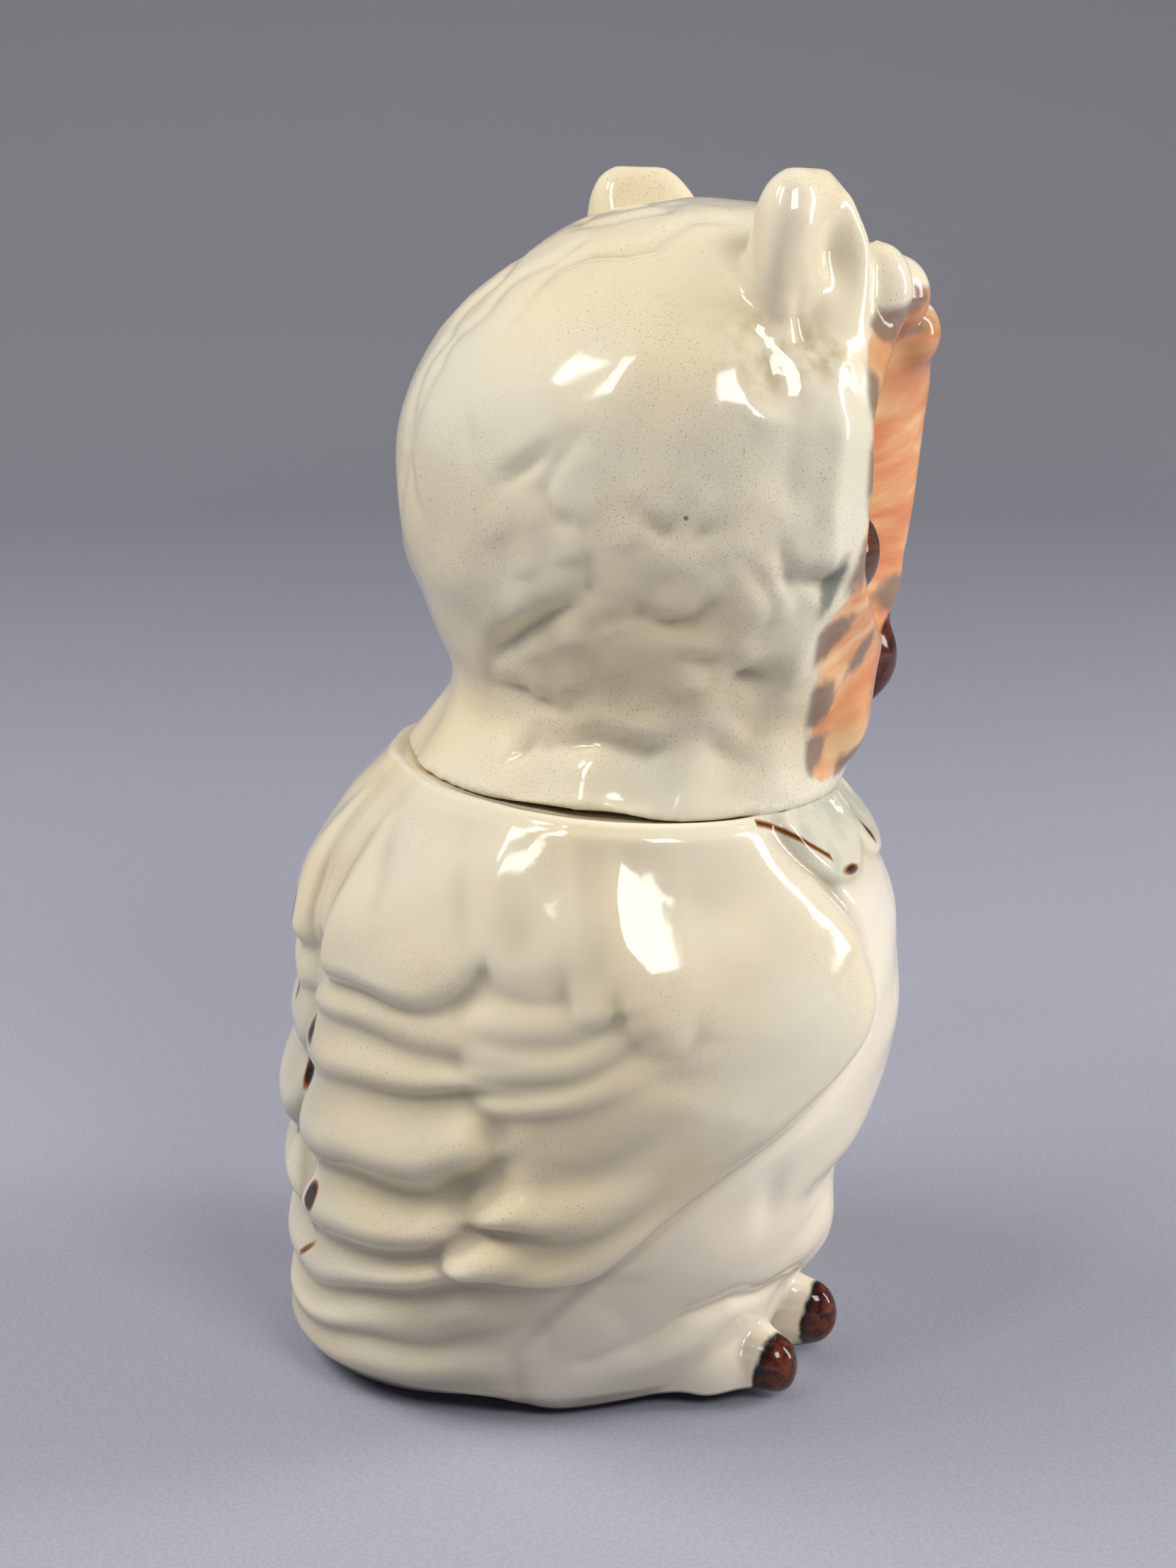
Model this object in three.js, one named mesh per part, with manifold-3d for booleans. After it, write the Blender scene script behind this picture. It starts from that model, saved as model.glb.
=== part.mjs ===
// A glazed ceramic cookie jar in the shape of a standing owl: the body is the jar and the head is its lid.
// Millimetres, +Z up. The owl faces -Y, and it is the same on both sides of the plane x = 0.
// Each piece is a thrown form, turned on a lathe from a table of sections, and then modelled by hand as clay
// is: feathers swell its skin, the face is pressed in, and toes, eyes, beak and ears are lumps joined on.
import * as THREE from "three";
import { ConvexGeometry } from "three/addons/geometries/ConvexGeometry.js";
import { mergeVertices } from "three/addons/utils/BufferGeometryUtils.js";
import Module from "manifold-3d";

const wasm = await Module();
wasm.setup();

// Jar: reach of the plain skin from the axis at each height, to the front, the side and the back.
const JAR_SECTIONS = [
  { z: 0, front: 47, side: 54, back: 72.5 },
  { z: 9, front: 50, side: 59, back: 78.5 },
  { z: 26, front: 55, side: 65, back: 76 },
  { z: 42, front: 61, side: 70.5, back: 73 },
  { z: 54, front: 70, side: 73, back: 71.5 },
  { z: 76, front: 79, side: 75.5, back: 70 },
  { z: 100, front: 81, side: 75.5, back: 68.5 },
  { z: 122, front: 78, side: 74, back: 65 },
  { z: 138, front: 72, side: 69, back: 58 },
  { z: 148, front: 64.5, side: 63.5, back: 50 },
];
const JAR_WALL = 5.5;
const JAR_FLOOR = 9;
const FOOT_RING = 7;
const FOOT_INSET = 4;
const FOOT_RECESS = 3;

// Seat of the lid: a plane that falls to the front, on a ring whose centre lies a little ahead of the axis.
const SEAT_Z = 149.9;
const SEAT_SLOPE = 0.06;
const MOUTH = { y: -6, front: 49, side: 51, back: 42 };
const SEAT_GAP = 0.3;
const FLANGE_DEPTH = 9;
const FLANGE_WALL = 5;
const FLANGE_CLEARANCE = 1.2;

// Wings: azimuth of the leading edge at each height, counted in degrees from the front.
const WING_EDGE = [
  { z: 22, azimuth: 126 },
  { z: 41, azimuth: 112 },
  { z: 58, azimuth: 97 },
  { z: 70, azimuth: 82 },
  { z: 79, azimuth: 68 },
  { z: 87, azimuth: 57 },
  { z: 95, azimuth: 50.5 },
  { z: 106, azimuth: 47.5 },
  { z: 120, azimuth: 50 },
  { z: 132, azimuth: 56 },
  { z: 146, azimuth: 67 },
  { z: 152, azimuth: 72 },
];
const WING_RAISE = 5.2;
const WING_ROLL = 13;

// Feathers of the wing: creases between the long ones, and the scallops that hang over them.
const BACK_CREASES = [105, 93, 84.5, 62.5, 45, 31, 17];
const BACK_SWELL = [1.8, 2, 3.8, 2.8, 2.2, 1.6];
const BACK_START = [114, 130];
const FORE_CREASES = [107, 96, 82, 69, 57, 44];
const FORE_SWELL = [2, 2.4, 2.4, 2.2, 1.8];
const FORE_TIP = 129;
const SHOULDER_SCALLOPS = [
  { azimuth: 150, half: 22, z: 105 },
  { azimuth: 118.5, half: 11, z: 106 },
  { azimuth: 97, half: 11, z: 103 },
];
const SCALLOP_RAISE = 3.4;
const BACK_PANEL_SHARE = 0.5;
const BACK_PANEL = [
  { z: 40, azimuth: 178 },
  { z: 55, azimuth: 170 },
  { z: 74, azimuth: 173 },
  { z: 89, azimuth: 175 },
  { z: 99, azimuth: 172 },
  { z: 112, azimuth: 169 },
  { z: 150, azimuth: 168 },
];

// Breast, thighs and feet.
const BIB_SCALLOPS = { pitch: 24, count: 5, z: 131, raise: 2.2 };
const BELLY_FOLD = { z: 47, half: 5, depth: 2 };
const THIGH = { at: [29, -25, 28], semi: [25, 28, 18], blend: 10 };
const FOOT = { at: [37, -8, 2], semi: [21, 38, 17], yaw: 48, blend: 6 };
const TOES = [
  { azimuth: 62, reach: 68 },
  { azimuth: 41, reach: 69 },
  { azimuth: 20, reach: 66 },
];
const TOE = { half: 9.5, length: 24, height: 15, z: 3, sole: 1.5 };

// Lid: sections of the plain head, each about its own axis.
const HEAD_SECTIONS = [
  { z: 150.2, y: -6, front: 57, side: 60, back: 51 },
  { z: 160, y: -8, front: 59, side: 57.5, back: 46 },
  { z: 171, y: -11, front: 60, side: 56, back: 43 },
  { z: 184, y: -14, front: 61, side: 60, back: 50 },
  { z: 203, y: -17, front: 62, side: 66, back: 60 },
  { z: 225, y: -18, front: 65, side: 68, back: 63.5 },
  { z: 246, y: -19, front: 64, side: 65, back: 60 },
  { z: 264, y: -21, front: 57, side: 55, back: 49 },
  { z: 278, y: -24, front: 43, side: 40, back: 33 },
  { z: 286, y: -27, front: 25, side: 24, back: 19 },
  { z: 289, y: -28, front: 0, side: 0, back: 0 },
];
const HEAD_INSIDE = [
  { z: 170, y: -11, front: 47, side: 49.5, back: 36.5 },
  { z: 190, y: -15, front: 28, side: 54.5, back: 46.5 },
  { z: 225, y: -18, front: 22, side: 61, back: 57 },
  { z: 250, y: -19, front: 23, side: 56, back: 52 },
  { z: 270, y: -22, front: 19, side: 38, back: 34 },
  { z: 281, y: -26, front: 0, side: 0, back: 0 },
];
const HEAD_AXIS_Y = -18;
const COLLAR_PLEATS = { count: 14, depth: 0.9 };
const TUFT = { width: 19, pitch: 15, raise: 1.5 };
const CROWN_GROOVES = { count: 11, depth: 1.1 };
// Ears: broad, flat-topped tufts, each wrapped round a few balls of clay and hollowed on its outer face.
const EAR = [
  { at: [53, -29, 286], semi: [6.5, 7, 9.4] },
  { at: [47.5, -37.5, 286], semi: [6.5, 7, 9.4] },
  { at: [46, -44, 276], semi: [7.5, 7, 10] },
  { at: [45, -27, 258], semi: [13, 9, 14] },
  { at: [42, -43, 258], semi: [12, 9, 14] },
];
const EAR_HOLLOW = { at: [63.5, -42, 275], semi: [13, 10.5, 14], lean: 14 };

// Face: a sunk mask with a feathered rim, a keel from the brow to the beak, and round eyes.
const FACE = { half: 62, z: 224, up: 41, floorY: -44, rim: 6 };
const RUFF = { lumps: 13, raise: 1.3 };
const KEEL = [
  { z: 150, y: -60, half: 16 },
  { z: 160, y: -62, half: 14 },
  { z: 168, y: -66, half: 12 },
  { z: 176, y: -74, half: 10 },
  { z: 184, y: -83, half: 9.5 },
  { z: 190, y: -86.5, half: 10 },
  { z: 197, y: -86.5, half: 10 },
  { z: 205, y: -88, half: 10.5 },
  { z: 218, y: -89.5, half: 12 },
  { z: 231, y: -90.5, half: 13.5 },
  { z: 245, y: -92, half: 17 },
  { z: 256, y: -88.5, half: 22 },
  { z: 266, y: -79, half: 26 },
  { z: 276, y: -67, half: 26 },
];
const EYE = { at: [29, -49, 206], semi: [14, 15, 14], fineness: 10 };
const BEAK = { at: [0, -72, 175], semi: [8, 13.5, 13], fineness: 10 };
const CHEEKS_AND_BROWS = [
  { at: [24, -51, 171], semi: [20, 11, 19], blend: 9 },
  { at: [46, -32, 177], semi: [12, 12, 16], blend: 8 },
  { at: [10, -79, 256], semi: [11, 10, 11], blend: 7 },
  { at: [24, -68, 266], semi: [11, 10, 11], blend: 6 },
  { at: [38, -57, 268], semi: [10, 9, 12], blend: 6 },
];

// Fineness of the modelled skins.
const JAR_SEGMENTS = 56;
const JAR_ROW = 6;
const JAR_CROWDING = 0.1;
const LID_SEGMENTS = 56;
const LID_ROWS = 20;
const CROWN_ROWS = 5;
const LID_CROWDING = 0.4;
const INSIDE_SEGMENTS = 32;
const LUMP_FINENESS = 7;

const GLAZE = { color: 0xe8e0cf, roughness: 0.16, metalness: 0 };

const DEGREE = Math.PI / 180;
const clamp01 = (t) => Math.min(1, Math.max(0, t));
const mix = (a, b, t) => a + (b - a) * t;

// A smooth rise from 0 to 1 between two values, and the rounded start of a swelling at its edge.
function rise(from, to, value) {
  const t = clamp01((value - from) / (to - from));
  return t * t * (3 - 2 * t);
}
function shoulder(t) {
  const c = clamp01(t);
  return c * (2 - c);
}

// The larger or the smaller of two surfaces, with the clay smoothed over the line where they meet.
function joined(a, b, blend) {
  const h = Math.max(blend - Math.abs(a - b), 0) / blend;
  return Math.max(a, b) + (h * h * blend) / 4;
}
const carved = (a, b, blend) => -joined(-a, -b, blend);

// A value of a table of sections at any height, along a smooth curve through its rows.
function along(table, z, key, by = "z") {
  const last = table.length - 1;
  if (z <= table[0][by]) return table[0][key];
  if (z >= table[last][by]) return table[last][key];
  let i = 0;
  while (table[i + 1][by] < z) i += 1;
  const slope = (k) => {
    const a = table[Math.max(k - 1, 0)];
    const b = table[Math.min(k + 1, last)];
    return (b[key] - a[key]) / (b[by] - a[by]);
  };
  const span = table[i + 1][by] - table[i][by];
  const t = (z - table[i][by]) / span;
  const start = table[i][key] * (1 + 2 * t) * (1 - t) ** 2 + slope(i) * span * t * (1 - t) ** 2;
  const end = table[i + 1][key] * t * t * (3 - 2 * t) - slope(i + 1) * span * t * t * (1 - t);
  return start + end;
}

// Reach of a section towards an azimuth: half an ellipse to the front and half of another to the back.
function reach(section, azimuth) {
  const s = Math.sin(azimuth) / Math.max(section.side, 1e-6);
  const c = Math.cos(azimuth);
  const d = c / Math.max(c > 0 ? section.front : section.back, 1e-6);
  return 1 / Math.hypot(s, d);
}
function section(table, z) {
  const keys = ["y", "front", "side", "back"].filter((key) => key in table[0]);
  return Object.fromEntries(keys.map((key) => [key, along(table, z, key)]));
}

// Reach of an ellipsoid of clay from the jar's axis at a height, on either side of the owl.
function lumpReach(azimuth, z, { at, semi, yaw = 0 }, side) {
  const across = new THREE.Vector2(Math.sin(azimuth), -Math.cos(azimuth));
  const centre = new THREE.Vector2(at[0] * side, at[1]);
  const origin = new THREE.Vector2();
  for (const v of [across, centre]) v.rotateAround(origin, -yaw * side * DEGREE);
  const half = new THREE.Vector2(semi[0], semi[1]);
  const d = across.divide(half);
  const o = centre.divide(half).negate();
  const up = (z - at[2]) / semi[2];
  const middle = o.dot(d);
  const root = middle * middle - d.lengthSq() * (o.lengthSq() + up * up - 1);
  return root > 0 ? (Math.sqrt(root) - middle) / d.lengthSq() : 0;
}

// Swell of the long feathers at a height: nothing in a crease, the most just under the middle of a feather.
function feathers(z, creases, swell) {
  for (let i = 0; i + 1 < creases.length; i += 1) {
    if (z <= creases[i] && z > creases[i + 1]) {
      const t = (creases[i] - z) / (creases[i] - creases[i + 1]);
      return (swell?.[i] ?? 1) * (1 - (2 * t ** 1.5 - 1) ** 2) ** 0.8;
    }
  }
  return 0;
}

// Jar: reach of the modelled skin.
function jarReach(azimuth, z) {
  const plain = reach(section(JAR_SECTIONS, z), azimuth);
  const a = Math.abs(azimuth) / DEGREE;
  const arc = plain * DEGREE;
  const edge = along(WING_EDGE, z, "azimuth");
  const slope = (along(WING_EDGE, z + 1, "azimuth") - along(WING_EDGE, z - 1, "azimuth")) / 2;
  const onWing = ((a - edge) * arc) / Math.hypot(1, slope * arc);
  const raised = 0.2 + 0.8 * rise(20, 58, z);
  let relief = WING_RAISE * shoulder(onWing / WING_ROLL) * raised * (1 - 0.75 * rise(130, 149, z));
  relief += rise(...BACK_START, a) * feathers(z, BACK_CREASES, BACK_SWELL);
  const foreEnds = rise(44, 50, z) * (1 - rise(101, 107, z)) * rise(94, 120, a);
  relief += shoulder(((FORE_TIP - a) * arc) / 11) * foreEnds * (0.6 + feathers(z, FORE_CREASES, FORE_SWELL));
  const scallop = Math.min(
    ...SHOULDER_SCALLOPS.map((s) => s.z + 9 * (Math.abs(a - s.azimuth) / s.half) ** 2.4),
  );
  const overlap = shoulder((z - scallop) / 9) * (1 - rise(6, 40, z - scallop));
  relief += SCALLOP_RAISE * overlap * rise(82, 98, a);
  const wingTip = along(BACK_PANEL, z, "azimuth") + 1.2 * feathers(z, BACK_CREASES);
  const panel = (1 - shoulder(((wingTip - a) * arc) / 8)) * rise(34, 50, z);
  let r = plain + relief * mix(1, BACK_PANEL_SHARE, panel);
  const breast = 1 - rise(50, 75, a);
  r -= BELLY_FOLD.depth * Math.exp(-(((z - BELLY_FOLD.z) / BELLY_FOLD.half) ** 2)) * breast;
  for (const side of [1, -1]) {
    for (const mass of [THIGH, FOOT]) r = joined(r, lumpReach(azimuth, z, mass, side), mass.blend);
  }
  let bib = 0;
  for (let i = 0; i < BIB_SCALLOPS.count; i += 1) {
    const middle = (i - (BIB_SCALLOPS.count - 1) / 2) * BIB_SCALLOPS.pitch;
    const t = Math.abs(azimuth / DEGREE - middle) / (0.54 * BIB_SCALLOPS.pitch);
    const above = z - BIB_SCALLOPS.z - 9 * t ** 2.6;
    bib = Math.max(bib, shoulder(above / 5) * (1 - rise(6, 18, above)));
  }
  return r + BIB_SCALLOPS.raise * bib * rise(2, -3, onWing);
}

// The slope of the seat runs out of the shoulder of the jar below it and out of the neck above it.
function tilted(point, share) {
  point.z += SEAT_SLOPE * point.y * share;
  return point;
}
function polar(azimuth, r, z, y = 0) {
  return new THREE.Vector3(r * Math.sin(azimuth), y - r * Math.cos(azimuth), z);
}

// Rows of the solid jar, from the middle of its underside up to the middle of its seat.
function jarRows() {
  const ring = (inset, z) => (azimuth) =>
    polar(azimuth, reach(JAR_SECTIONS[0], azimuth) - inset, z);
  const rows = [
    () => new THREE.Vector3(0, 0, FOOT_RECESS),
    ring(FOOT_INSET + FOOT_RING + 3, FOOT_RECESS),
    ring(FOOT_INSET + FOOT_RING, 0),
    ring(FOOT_INSET, 0),
  ];
  const top = SEAT_Z - 2;
  const levels = [2, ...BACK_CREASES, ...FORE_CREASES, top].sort((a, b) => a - b);
  for (let i = 0; i < levels.length; i += 1) {
    const span = i > 0 ? levels[i] - levels[i - 1] : 0;
    const steps = Math.max(Math.round(span / JAR_ROW), 1);
    for (let k = 1; k <= steps; k += 1) {
      const z = levels[i] - span * (1 - k / steps);
      rows.push((azimuth) => tilted(polar(azimuth, jarReach(azimuth, z), z), rise(112, top, z)));
    }
  }
  rows.push((azimuth) => tilted(polar(azimuth, jarReach(azimuth, top) - 1.6, SEAT_Z), 1));
  rows.push(() => new THREE.Vector3(0, 0, SEAT_Z));
  return rows;
}

// Rows of the hollow of the jar, from the middle of its floor up through the mouth.
function jarHollowRows() {
  const wall = (z, inset) => (azimuth) =>
    polar(azimuth, reach(section(JAR_SECTIONS, z), azimuth) - inset, z);
  const mouth = (z) => (azimuth) =>
    tilted(polar(azimuth, reach(MOUTH, azimuth), z, MOUTH.y), 1);
  return [
    () => new THREE.Vector3(0, 0, JAR_FLOOR),
    wall(JAR_FLOOR, JAR_WALL + 7),
    wall(JAR_FLOOR + 5, JAR_WALL + 2),
    ...[36, 58, 84, 106, 124].map((z) => wall(z, JAR_WALL)),
    mouth(SEAT_Z - 12),
    mouth(SEAT_Z + 10),
    () => new THREE.Vector3(0, MOUTH.y, SEAT_Z + 10),
  ];
}

// Soft feather tufts in staggered rows over the sides and the back of the head.
function tufts(a, z) {
  let height = 0;
  const row = Math.floor(z / TUFT.pitch);
  for (let j = row - 1; j <= row + 1; j += 1) {
    const shift = j % 2 === 0 ? 0 : 0.5;
    const column = Math.floor(a / TUFT.width - shift);
    for (let i = column - 1; i <= column + 1; i += 1) {
      const uneven = 0.22 * Math.sin(12.9 * i + 78.2 * j);
      const across = a - (i + 0.5 + shift + uneven) * TUFT.width;
      const up = z - (j + 0.5 - uneven) * TUFT.pitch;
      const spread = (across / (0.66 * TUFT.width)) ** 2 + (up / (TUFT.pitch * (up < 0 ? 0.5 : 0.8))) ** 2;
      height = Math.max(height, 1 - spread);
    }
  }
  return height;
}

// Lid: a point of the modelled skin above a place on the plain head.
function headPoint(azimuth, z) {
  const plain = section(HEAD_SECTIONS, z);
  const a = Math.abs(azimuth) / DEGREE;
  const pleats = Math.cos(COLLAR_PLEATS.count * azimuth + 0.6 * Math.sin(3 * azimuth));
  const onCollar = rise(151, 154, z) * rise(172, 158, z) * rise(30, 60, a);
  const p = polar(azimuth, reach(plain, azimuth) + COLLAR_PLEATS.depth * pleats * onCollar, z, plain.y);
  const out = p.clone().sub(new THREE.Vector3(0, plain.y, Math.min(z, 225))).normalize();
  const onHead = rise(168, 180, z) * rise(262, 235, z) * rise(64, 76, a);
  const grooves = Math.cos(CROWN_GROOVES.count * azimuth + 1.2 * Math.sin(0.08 * z));
  const onCrown = rise(238, 255, z) * rise(287, 280, z) * rise(70, 100, a);
  p.addScaledVector(out, TUFT.raise * tufts(a, z) * onHead + CROWN_GROOVES.depth * grooves * onCrown);
  return tilted(facePoint(p, rise(153, 163, z)), rise(190, 150, z));
}

// The face is pressed in from the front: each point keeps its place across and up, and moves only in depth.
function facePoint(p, free) {
  const front = rise(0.05, 0.25, (HEAD_AXIS_Y - p.y) / 70);
  if (front === 0) return p;
  const { z } = p;
  const rim = Math.cbrt(Math.abs(p.x / FACE.half) ** 3 + Math.abs((z - FACE.z) / FACE.up) ** 3);
  const around = Math.atan2(z - FACE.z, Math.abs(p.x));
  const lumps = 0.8 + Math.cos(RUFF.lumps * around);
  const ruff = RUFF.raise * lumps * Math.exp(-(((rim - 1.1) / 0.09) ** 2)) * front * free;
  p.x += Math.sign(p.x) * 0.8 * ruff;
  p.y -= 0.7 * ruff;
  const x = Math.abs(p.x);
  const floor = FACE.floorY - 0.1 * (FACE.half - x) - 15 * rise(210, 182, z) - 16 * rise(236, 264, z);
  p.y = mix(p.y, Math.max(floor, p.y), rise(-1, FACE.rim, 45 * (1 - rim)) * front);
  for (const { at, semi, blend } of CHEEKS_AND_BROWS) {
    const inside = 1 - ((x - at[0]) / semi[0]) ** 2 - ((z - at[2]) / semi[2]) ** 2;
    const swell = at[1] - semi[1] * Math.sqrt(Math.max(inside, 0));
    if (inside > 0) p.y = mix(p.y, carved(p.y, swell, blend), front * free);
  }
  const keel = along(KEEL, z, "y") + 18 * (x / along(KEEL, z, "half")) ** 2;
  p.y = mix(p.y, carved(p.y, keel, 9), rise(154, 166, z) * rise(278, 262, z) * front);
  return p;
}

// Rows of the solid head, from the middle of its rim up to the crown.
function headRows() {
  const rim = HEAD_SECTIONS[0];
  const top = HEAD_SECTIONS.at(-1);
  const crown = 262;
  const rows = [
    () => tilted(new THREE.Vector3(0, rim.y, rim.z), 1),
    (azimuth) => tilted(polar(azimuth, reach(rim, azimuth) - 1.2, rim.z, rim.y), 1),
  ];
  for (let i = 0; i <= LID_ROWS; i += 1) {
    const z = mix(rim.z + 1.4, crown, i / LID_ROWS);
    rows.push((azimuth) => headPoint(azimuth, z));
  }
  for (let i = 1; i <= CROWN_ROWS; i += 1) {
    const z = crown + (top.z - crown) * Math.sin((i / (CROWN_ROWS + 1)) * 90 * DEGREE);
    rows.push((azimuth) => headPoint(azimuth, z));
  }
  rows.push(() => new THREE.Vector3(0, top.y, top.z));
  return rows;
}

// Rows of the flange that keeps the lid in the mouth, and of the hollow of the head above it.
function flangeRing(inset, z) {
  return (azimuth) => tilted(polar(azimuth, reach(MOUTH, azimuth) - inset, z, MOUTH.y), 1);
}
function flangeRows() {
  const low = SEAT_Z - FLANGE_DEPTH;
  const high = SEAT_Z + 8;
  return [
    () => tilted(new THREE.Vector3(0, MOUTH.y, low), 1),
    flangeRing(FLANGE_CLEARANCE + 0.8, low),
    flangeRing(FLANGE_CLEARANCE, low + 2),
    flangeRing(FLANGE_CLEARANCE, high),
    () => tilted(new THREE.Vector3(0, MOUTH.y, high), 1),
  ];
}
function headHollowRows() {
  const low = SEAT_Z - FLANGE_DEPTH - 10;
  const inside = FLANGE_CLEARANCE + FLANGE_WALL;
  const rows = [
    () => tilted(new THREE.Vector3(0, MOUTH.y, low), 1),
    flangeRing(inside, low),
    flangeRing(inside, SEAT_Z),
  ];
  for (const hollow of HEAD_INSIDE) {
    rows.push((azimuth) => {
      const r = hollow.side > 0 ? reach(hollow, azimuth) : 0;
      return tilted(polar(azimuth, r, hollow.z, hollow.y), rise(190, 150, hollow.z));
    });
  }
  return rows;
}

// A closed lathe form whose points are moved to the modelled rows, with more segments to the front than to
// the back. Each four-cornered facet is split along its shorter diagonal, so that creases stay straight.
function modelled(rows, segments, crowding) {
  const profile = rows.map((row, j) => new THREE.Vector2(1, j));
  const form = new THREE.LatheGeometry(profile, segments);
  const position = form.attributes.position;
  const points = [];
  for (let i = 0; i <= segments; i += 1) {
    const turn = (((i % segments) / segments) * 2 - 1) * Math.PI;
    const azimuth = turn - crowding * Math.sin(turn);
    for (const row of rows) {
      const p = row(azimuth);
      if (i % segments === 0) p.x = 0;
      position.setXYZ(points.length, p.x, p.y, p.z);
      points.push(p);
    }
  }
  const corners = [];
  for (let i = 0; i < segments; i += 1) {
    for (let j = 0; j + 1 < rows.length; j += 1) {
      const a = i * rows.length + j;
      const [b, c, d] = [a + rows.length, a + rows.length + 1, a + 1];
      const alongAC = points[a].distanceTo(points[c]) < points[b].distanceTo(points[d]);
      corners.push(...(alongAC ? [a, b, c, a, c, d] : [a, b, d, b, c, d]));
    }
  }
  form.setIndex(corners);
  return solid(form);
}

// A closed geometry as a solid that can be joined and cut, and back again.
function solid(geometry) {
  geometry.deleteAttribute("normal");
  geometry.deleteAttribute("uv");
  const welded = mergeVertices(geometry, 1e-3);
  const corners = welded.index.array;
  const kept = [];
  for (let i = 0; i < corners.length; i += 3) {
    const [a, b, c] = corners.subarray(i, i + 3);
    if (a !== b && b !== c && c !== a) kept.push(a, b, c);
  }
  const vertProperties = welded.attributes.position.array;
  return new wasm.Manifold(new wasm.Mesh({ numProp: 3, vertProperties, triVerts: new Uint32Array(kept) }));
}
function geometryOf(made) {
  const { vertProperties, triVerts } = made.getMesh();
  const geometry = new THREE.BufferGeometry();
  geometry.setAttribute("position", new THREE.BufferAttribute(vertProperties, 3));
  geometry.setIndex(new THREE.BufferAttribute(triVerts, 1));
  geometry.computeVertexNormals();
  return geometry;
}

// A lump of clay: an ellipsoid, on one side of the owl or as a pair, and a tuft wrapped round a few of them.
function ball({ at, semi, yaw = 0, lean = 0, fineness = LUMP_FINENESS }, side) {
  const form = new THREE.SphereGeometry(1, Math.round(1.5 * fineness), fineness);
  form.scale(...semi);
  form.rotateY(lean * side * DEGREE);
  form.rotateZ(yaw * side * DEGREE);
  return form.translate(at[0] * side, at[1], at[2]);
}
const lump = (clay, side = 1) => solid(ball(clay, side));
const pair = (clay) => lump(clay, 1).add(lump(clay, -1));
function tuft(balls, side) {
  const points = balls.flatMap((each) => {
    const { position } = ball(each, side).attributes;
    const corner = (_, i) => new THREE.Vector3().fromBufferAttribute(position, i);
    return Array.from({ length: position.count }, corner);
  });
  return solid(new ConvexGeometry(points));
}

function toe({ azimuth, reach: tip }) {
  const middle = tip - TOE.length;
  const turn = azimuth * DEGREE;
  return {
    at: [middle * Math.sin(turn), -middle * Math.cos(turn), TOE.z],
    semi: [TOE.half, TOE.length, TOE.height],
    yaw: azimuth,
  };
}

function makeJar() {
  const below = new THREE.BoxGeometry(400, 400, 100);
  below.translate(0, 0, TOE.sole - 50);
  const ground = solid(below);
  let jar = modelled(jarRows(), JAR_SEGMENTS, JAR_CROWDING);
  for (const each of TOES) jar = jar.add(pair(toe(each)).subtract(ground));
  return jar.subtract(modelled(jarHollowRows(), INSIDE_SEGMENTS, 0));
}

function makeLid() {
  let lid = modelled(headRows(), LID_SEGMENTS, LID_CROWDING);
  for (const side of [1, -1]) {
    lid = lid.add(tuft(EAR, side).subtract(lump(EAR_HOLLOW, side)));
  }
  lid = lid.add(pair(EYE)).add(lump(BEAK));
  lid = lid.add(modelled(flangeRows(), INSIDE_SEGMENTS, 0));
  return lid.subtract(modelled(headHollowRows(), INSIDE_SEGMENTS, 0));
}

function piece(name, made) {
  const mesh = new THREE.Mesh(geometryOf(made), new THREE.MeshStandardMaterial(GLAZE));
  mesh.name = name;
  return mesh;
}

// The owl stands with the middle of its box over the origin.
const pieces = new THREE.Group();
pieces.add(piece("jar", makeJar()));
pieces.add(piece("lid", makeLid()));
const box = new THREE.Box3().setFromObject(pieces);
pieces.position.y = -(box.min.y + box.max.y) / 2;

const owl = new THREE.Group();
owl.name = "owl_cookie_jar";
owl.add(pieces);

export default owl;
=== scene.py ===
# %% [markdown]
# # An owl cookie jar in glazed earthenware
# The real jar is slip-cast clay: the body of a standing owl is the pot, and its head is the lid. A cream
# glaze pools in the hollows of the feathers, and a brush put on the face, the claws and a few dark dashes.
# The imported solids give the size, so they are loaded first, and each piece made here takes the place of one.

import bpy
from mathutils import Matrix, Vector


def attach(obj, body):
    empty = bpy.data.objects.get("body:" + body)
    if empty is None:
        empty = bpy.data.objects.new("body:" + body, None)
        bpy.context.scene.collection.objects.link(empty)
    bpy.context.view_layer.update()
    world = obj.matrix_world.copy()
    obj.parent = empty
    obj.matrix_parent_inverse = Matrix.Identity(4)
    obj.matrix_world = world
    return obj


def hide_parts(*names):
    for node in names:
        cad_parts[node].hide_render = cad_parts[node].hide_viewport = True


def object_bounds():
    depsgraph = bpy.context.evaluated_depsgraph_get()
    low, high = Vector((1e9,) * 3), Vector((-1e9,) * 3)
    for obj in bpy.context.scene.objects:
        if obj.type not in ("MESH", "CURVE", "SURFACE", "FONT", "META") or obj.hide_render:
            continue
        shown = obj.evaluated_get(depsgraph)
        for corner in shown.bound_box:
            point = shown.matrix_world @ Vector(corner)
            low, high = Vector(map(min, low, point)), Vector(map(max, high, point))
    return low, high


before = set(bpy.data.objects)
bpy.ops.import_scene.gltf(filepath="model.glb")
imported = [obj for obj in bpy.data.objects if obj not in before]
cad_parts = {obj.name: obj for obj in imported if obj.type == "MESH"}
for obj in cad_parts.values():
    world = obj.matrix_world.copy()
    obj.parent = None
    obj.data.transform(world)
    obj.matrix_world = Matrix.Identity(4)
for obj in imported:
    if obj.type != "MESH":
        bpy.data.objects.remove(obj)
solid_box = [list(corner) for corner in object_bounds()]
print("box of the solids in metres:", solid_box)

# %% [markdown]
# ## The bench
# A modeller works with few tools: a swelling that starts softly at an edge, two lumps whose joint is smoothed
# over, a curve through a handful of measured sections. They are small functions on whole arrays of points, so
# that eighty thousand points move in one go. Lengths are millimetres until the mesh is finished.

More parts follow.
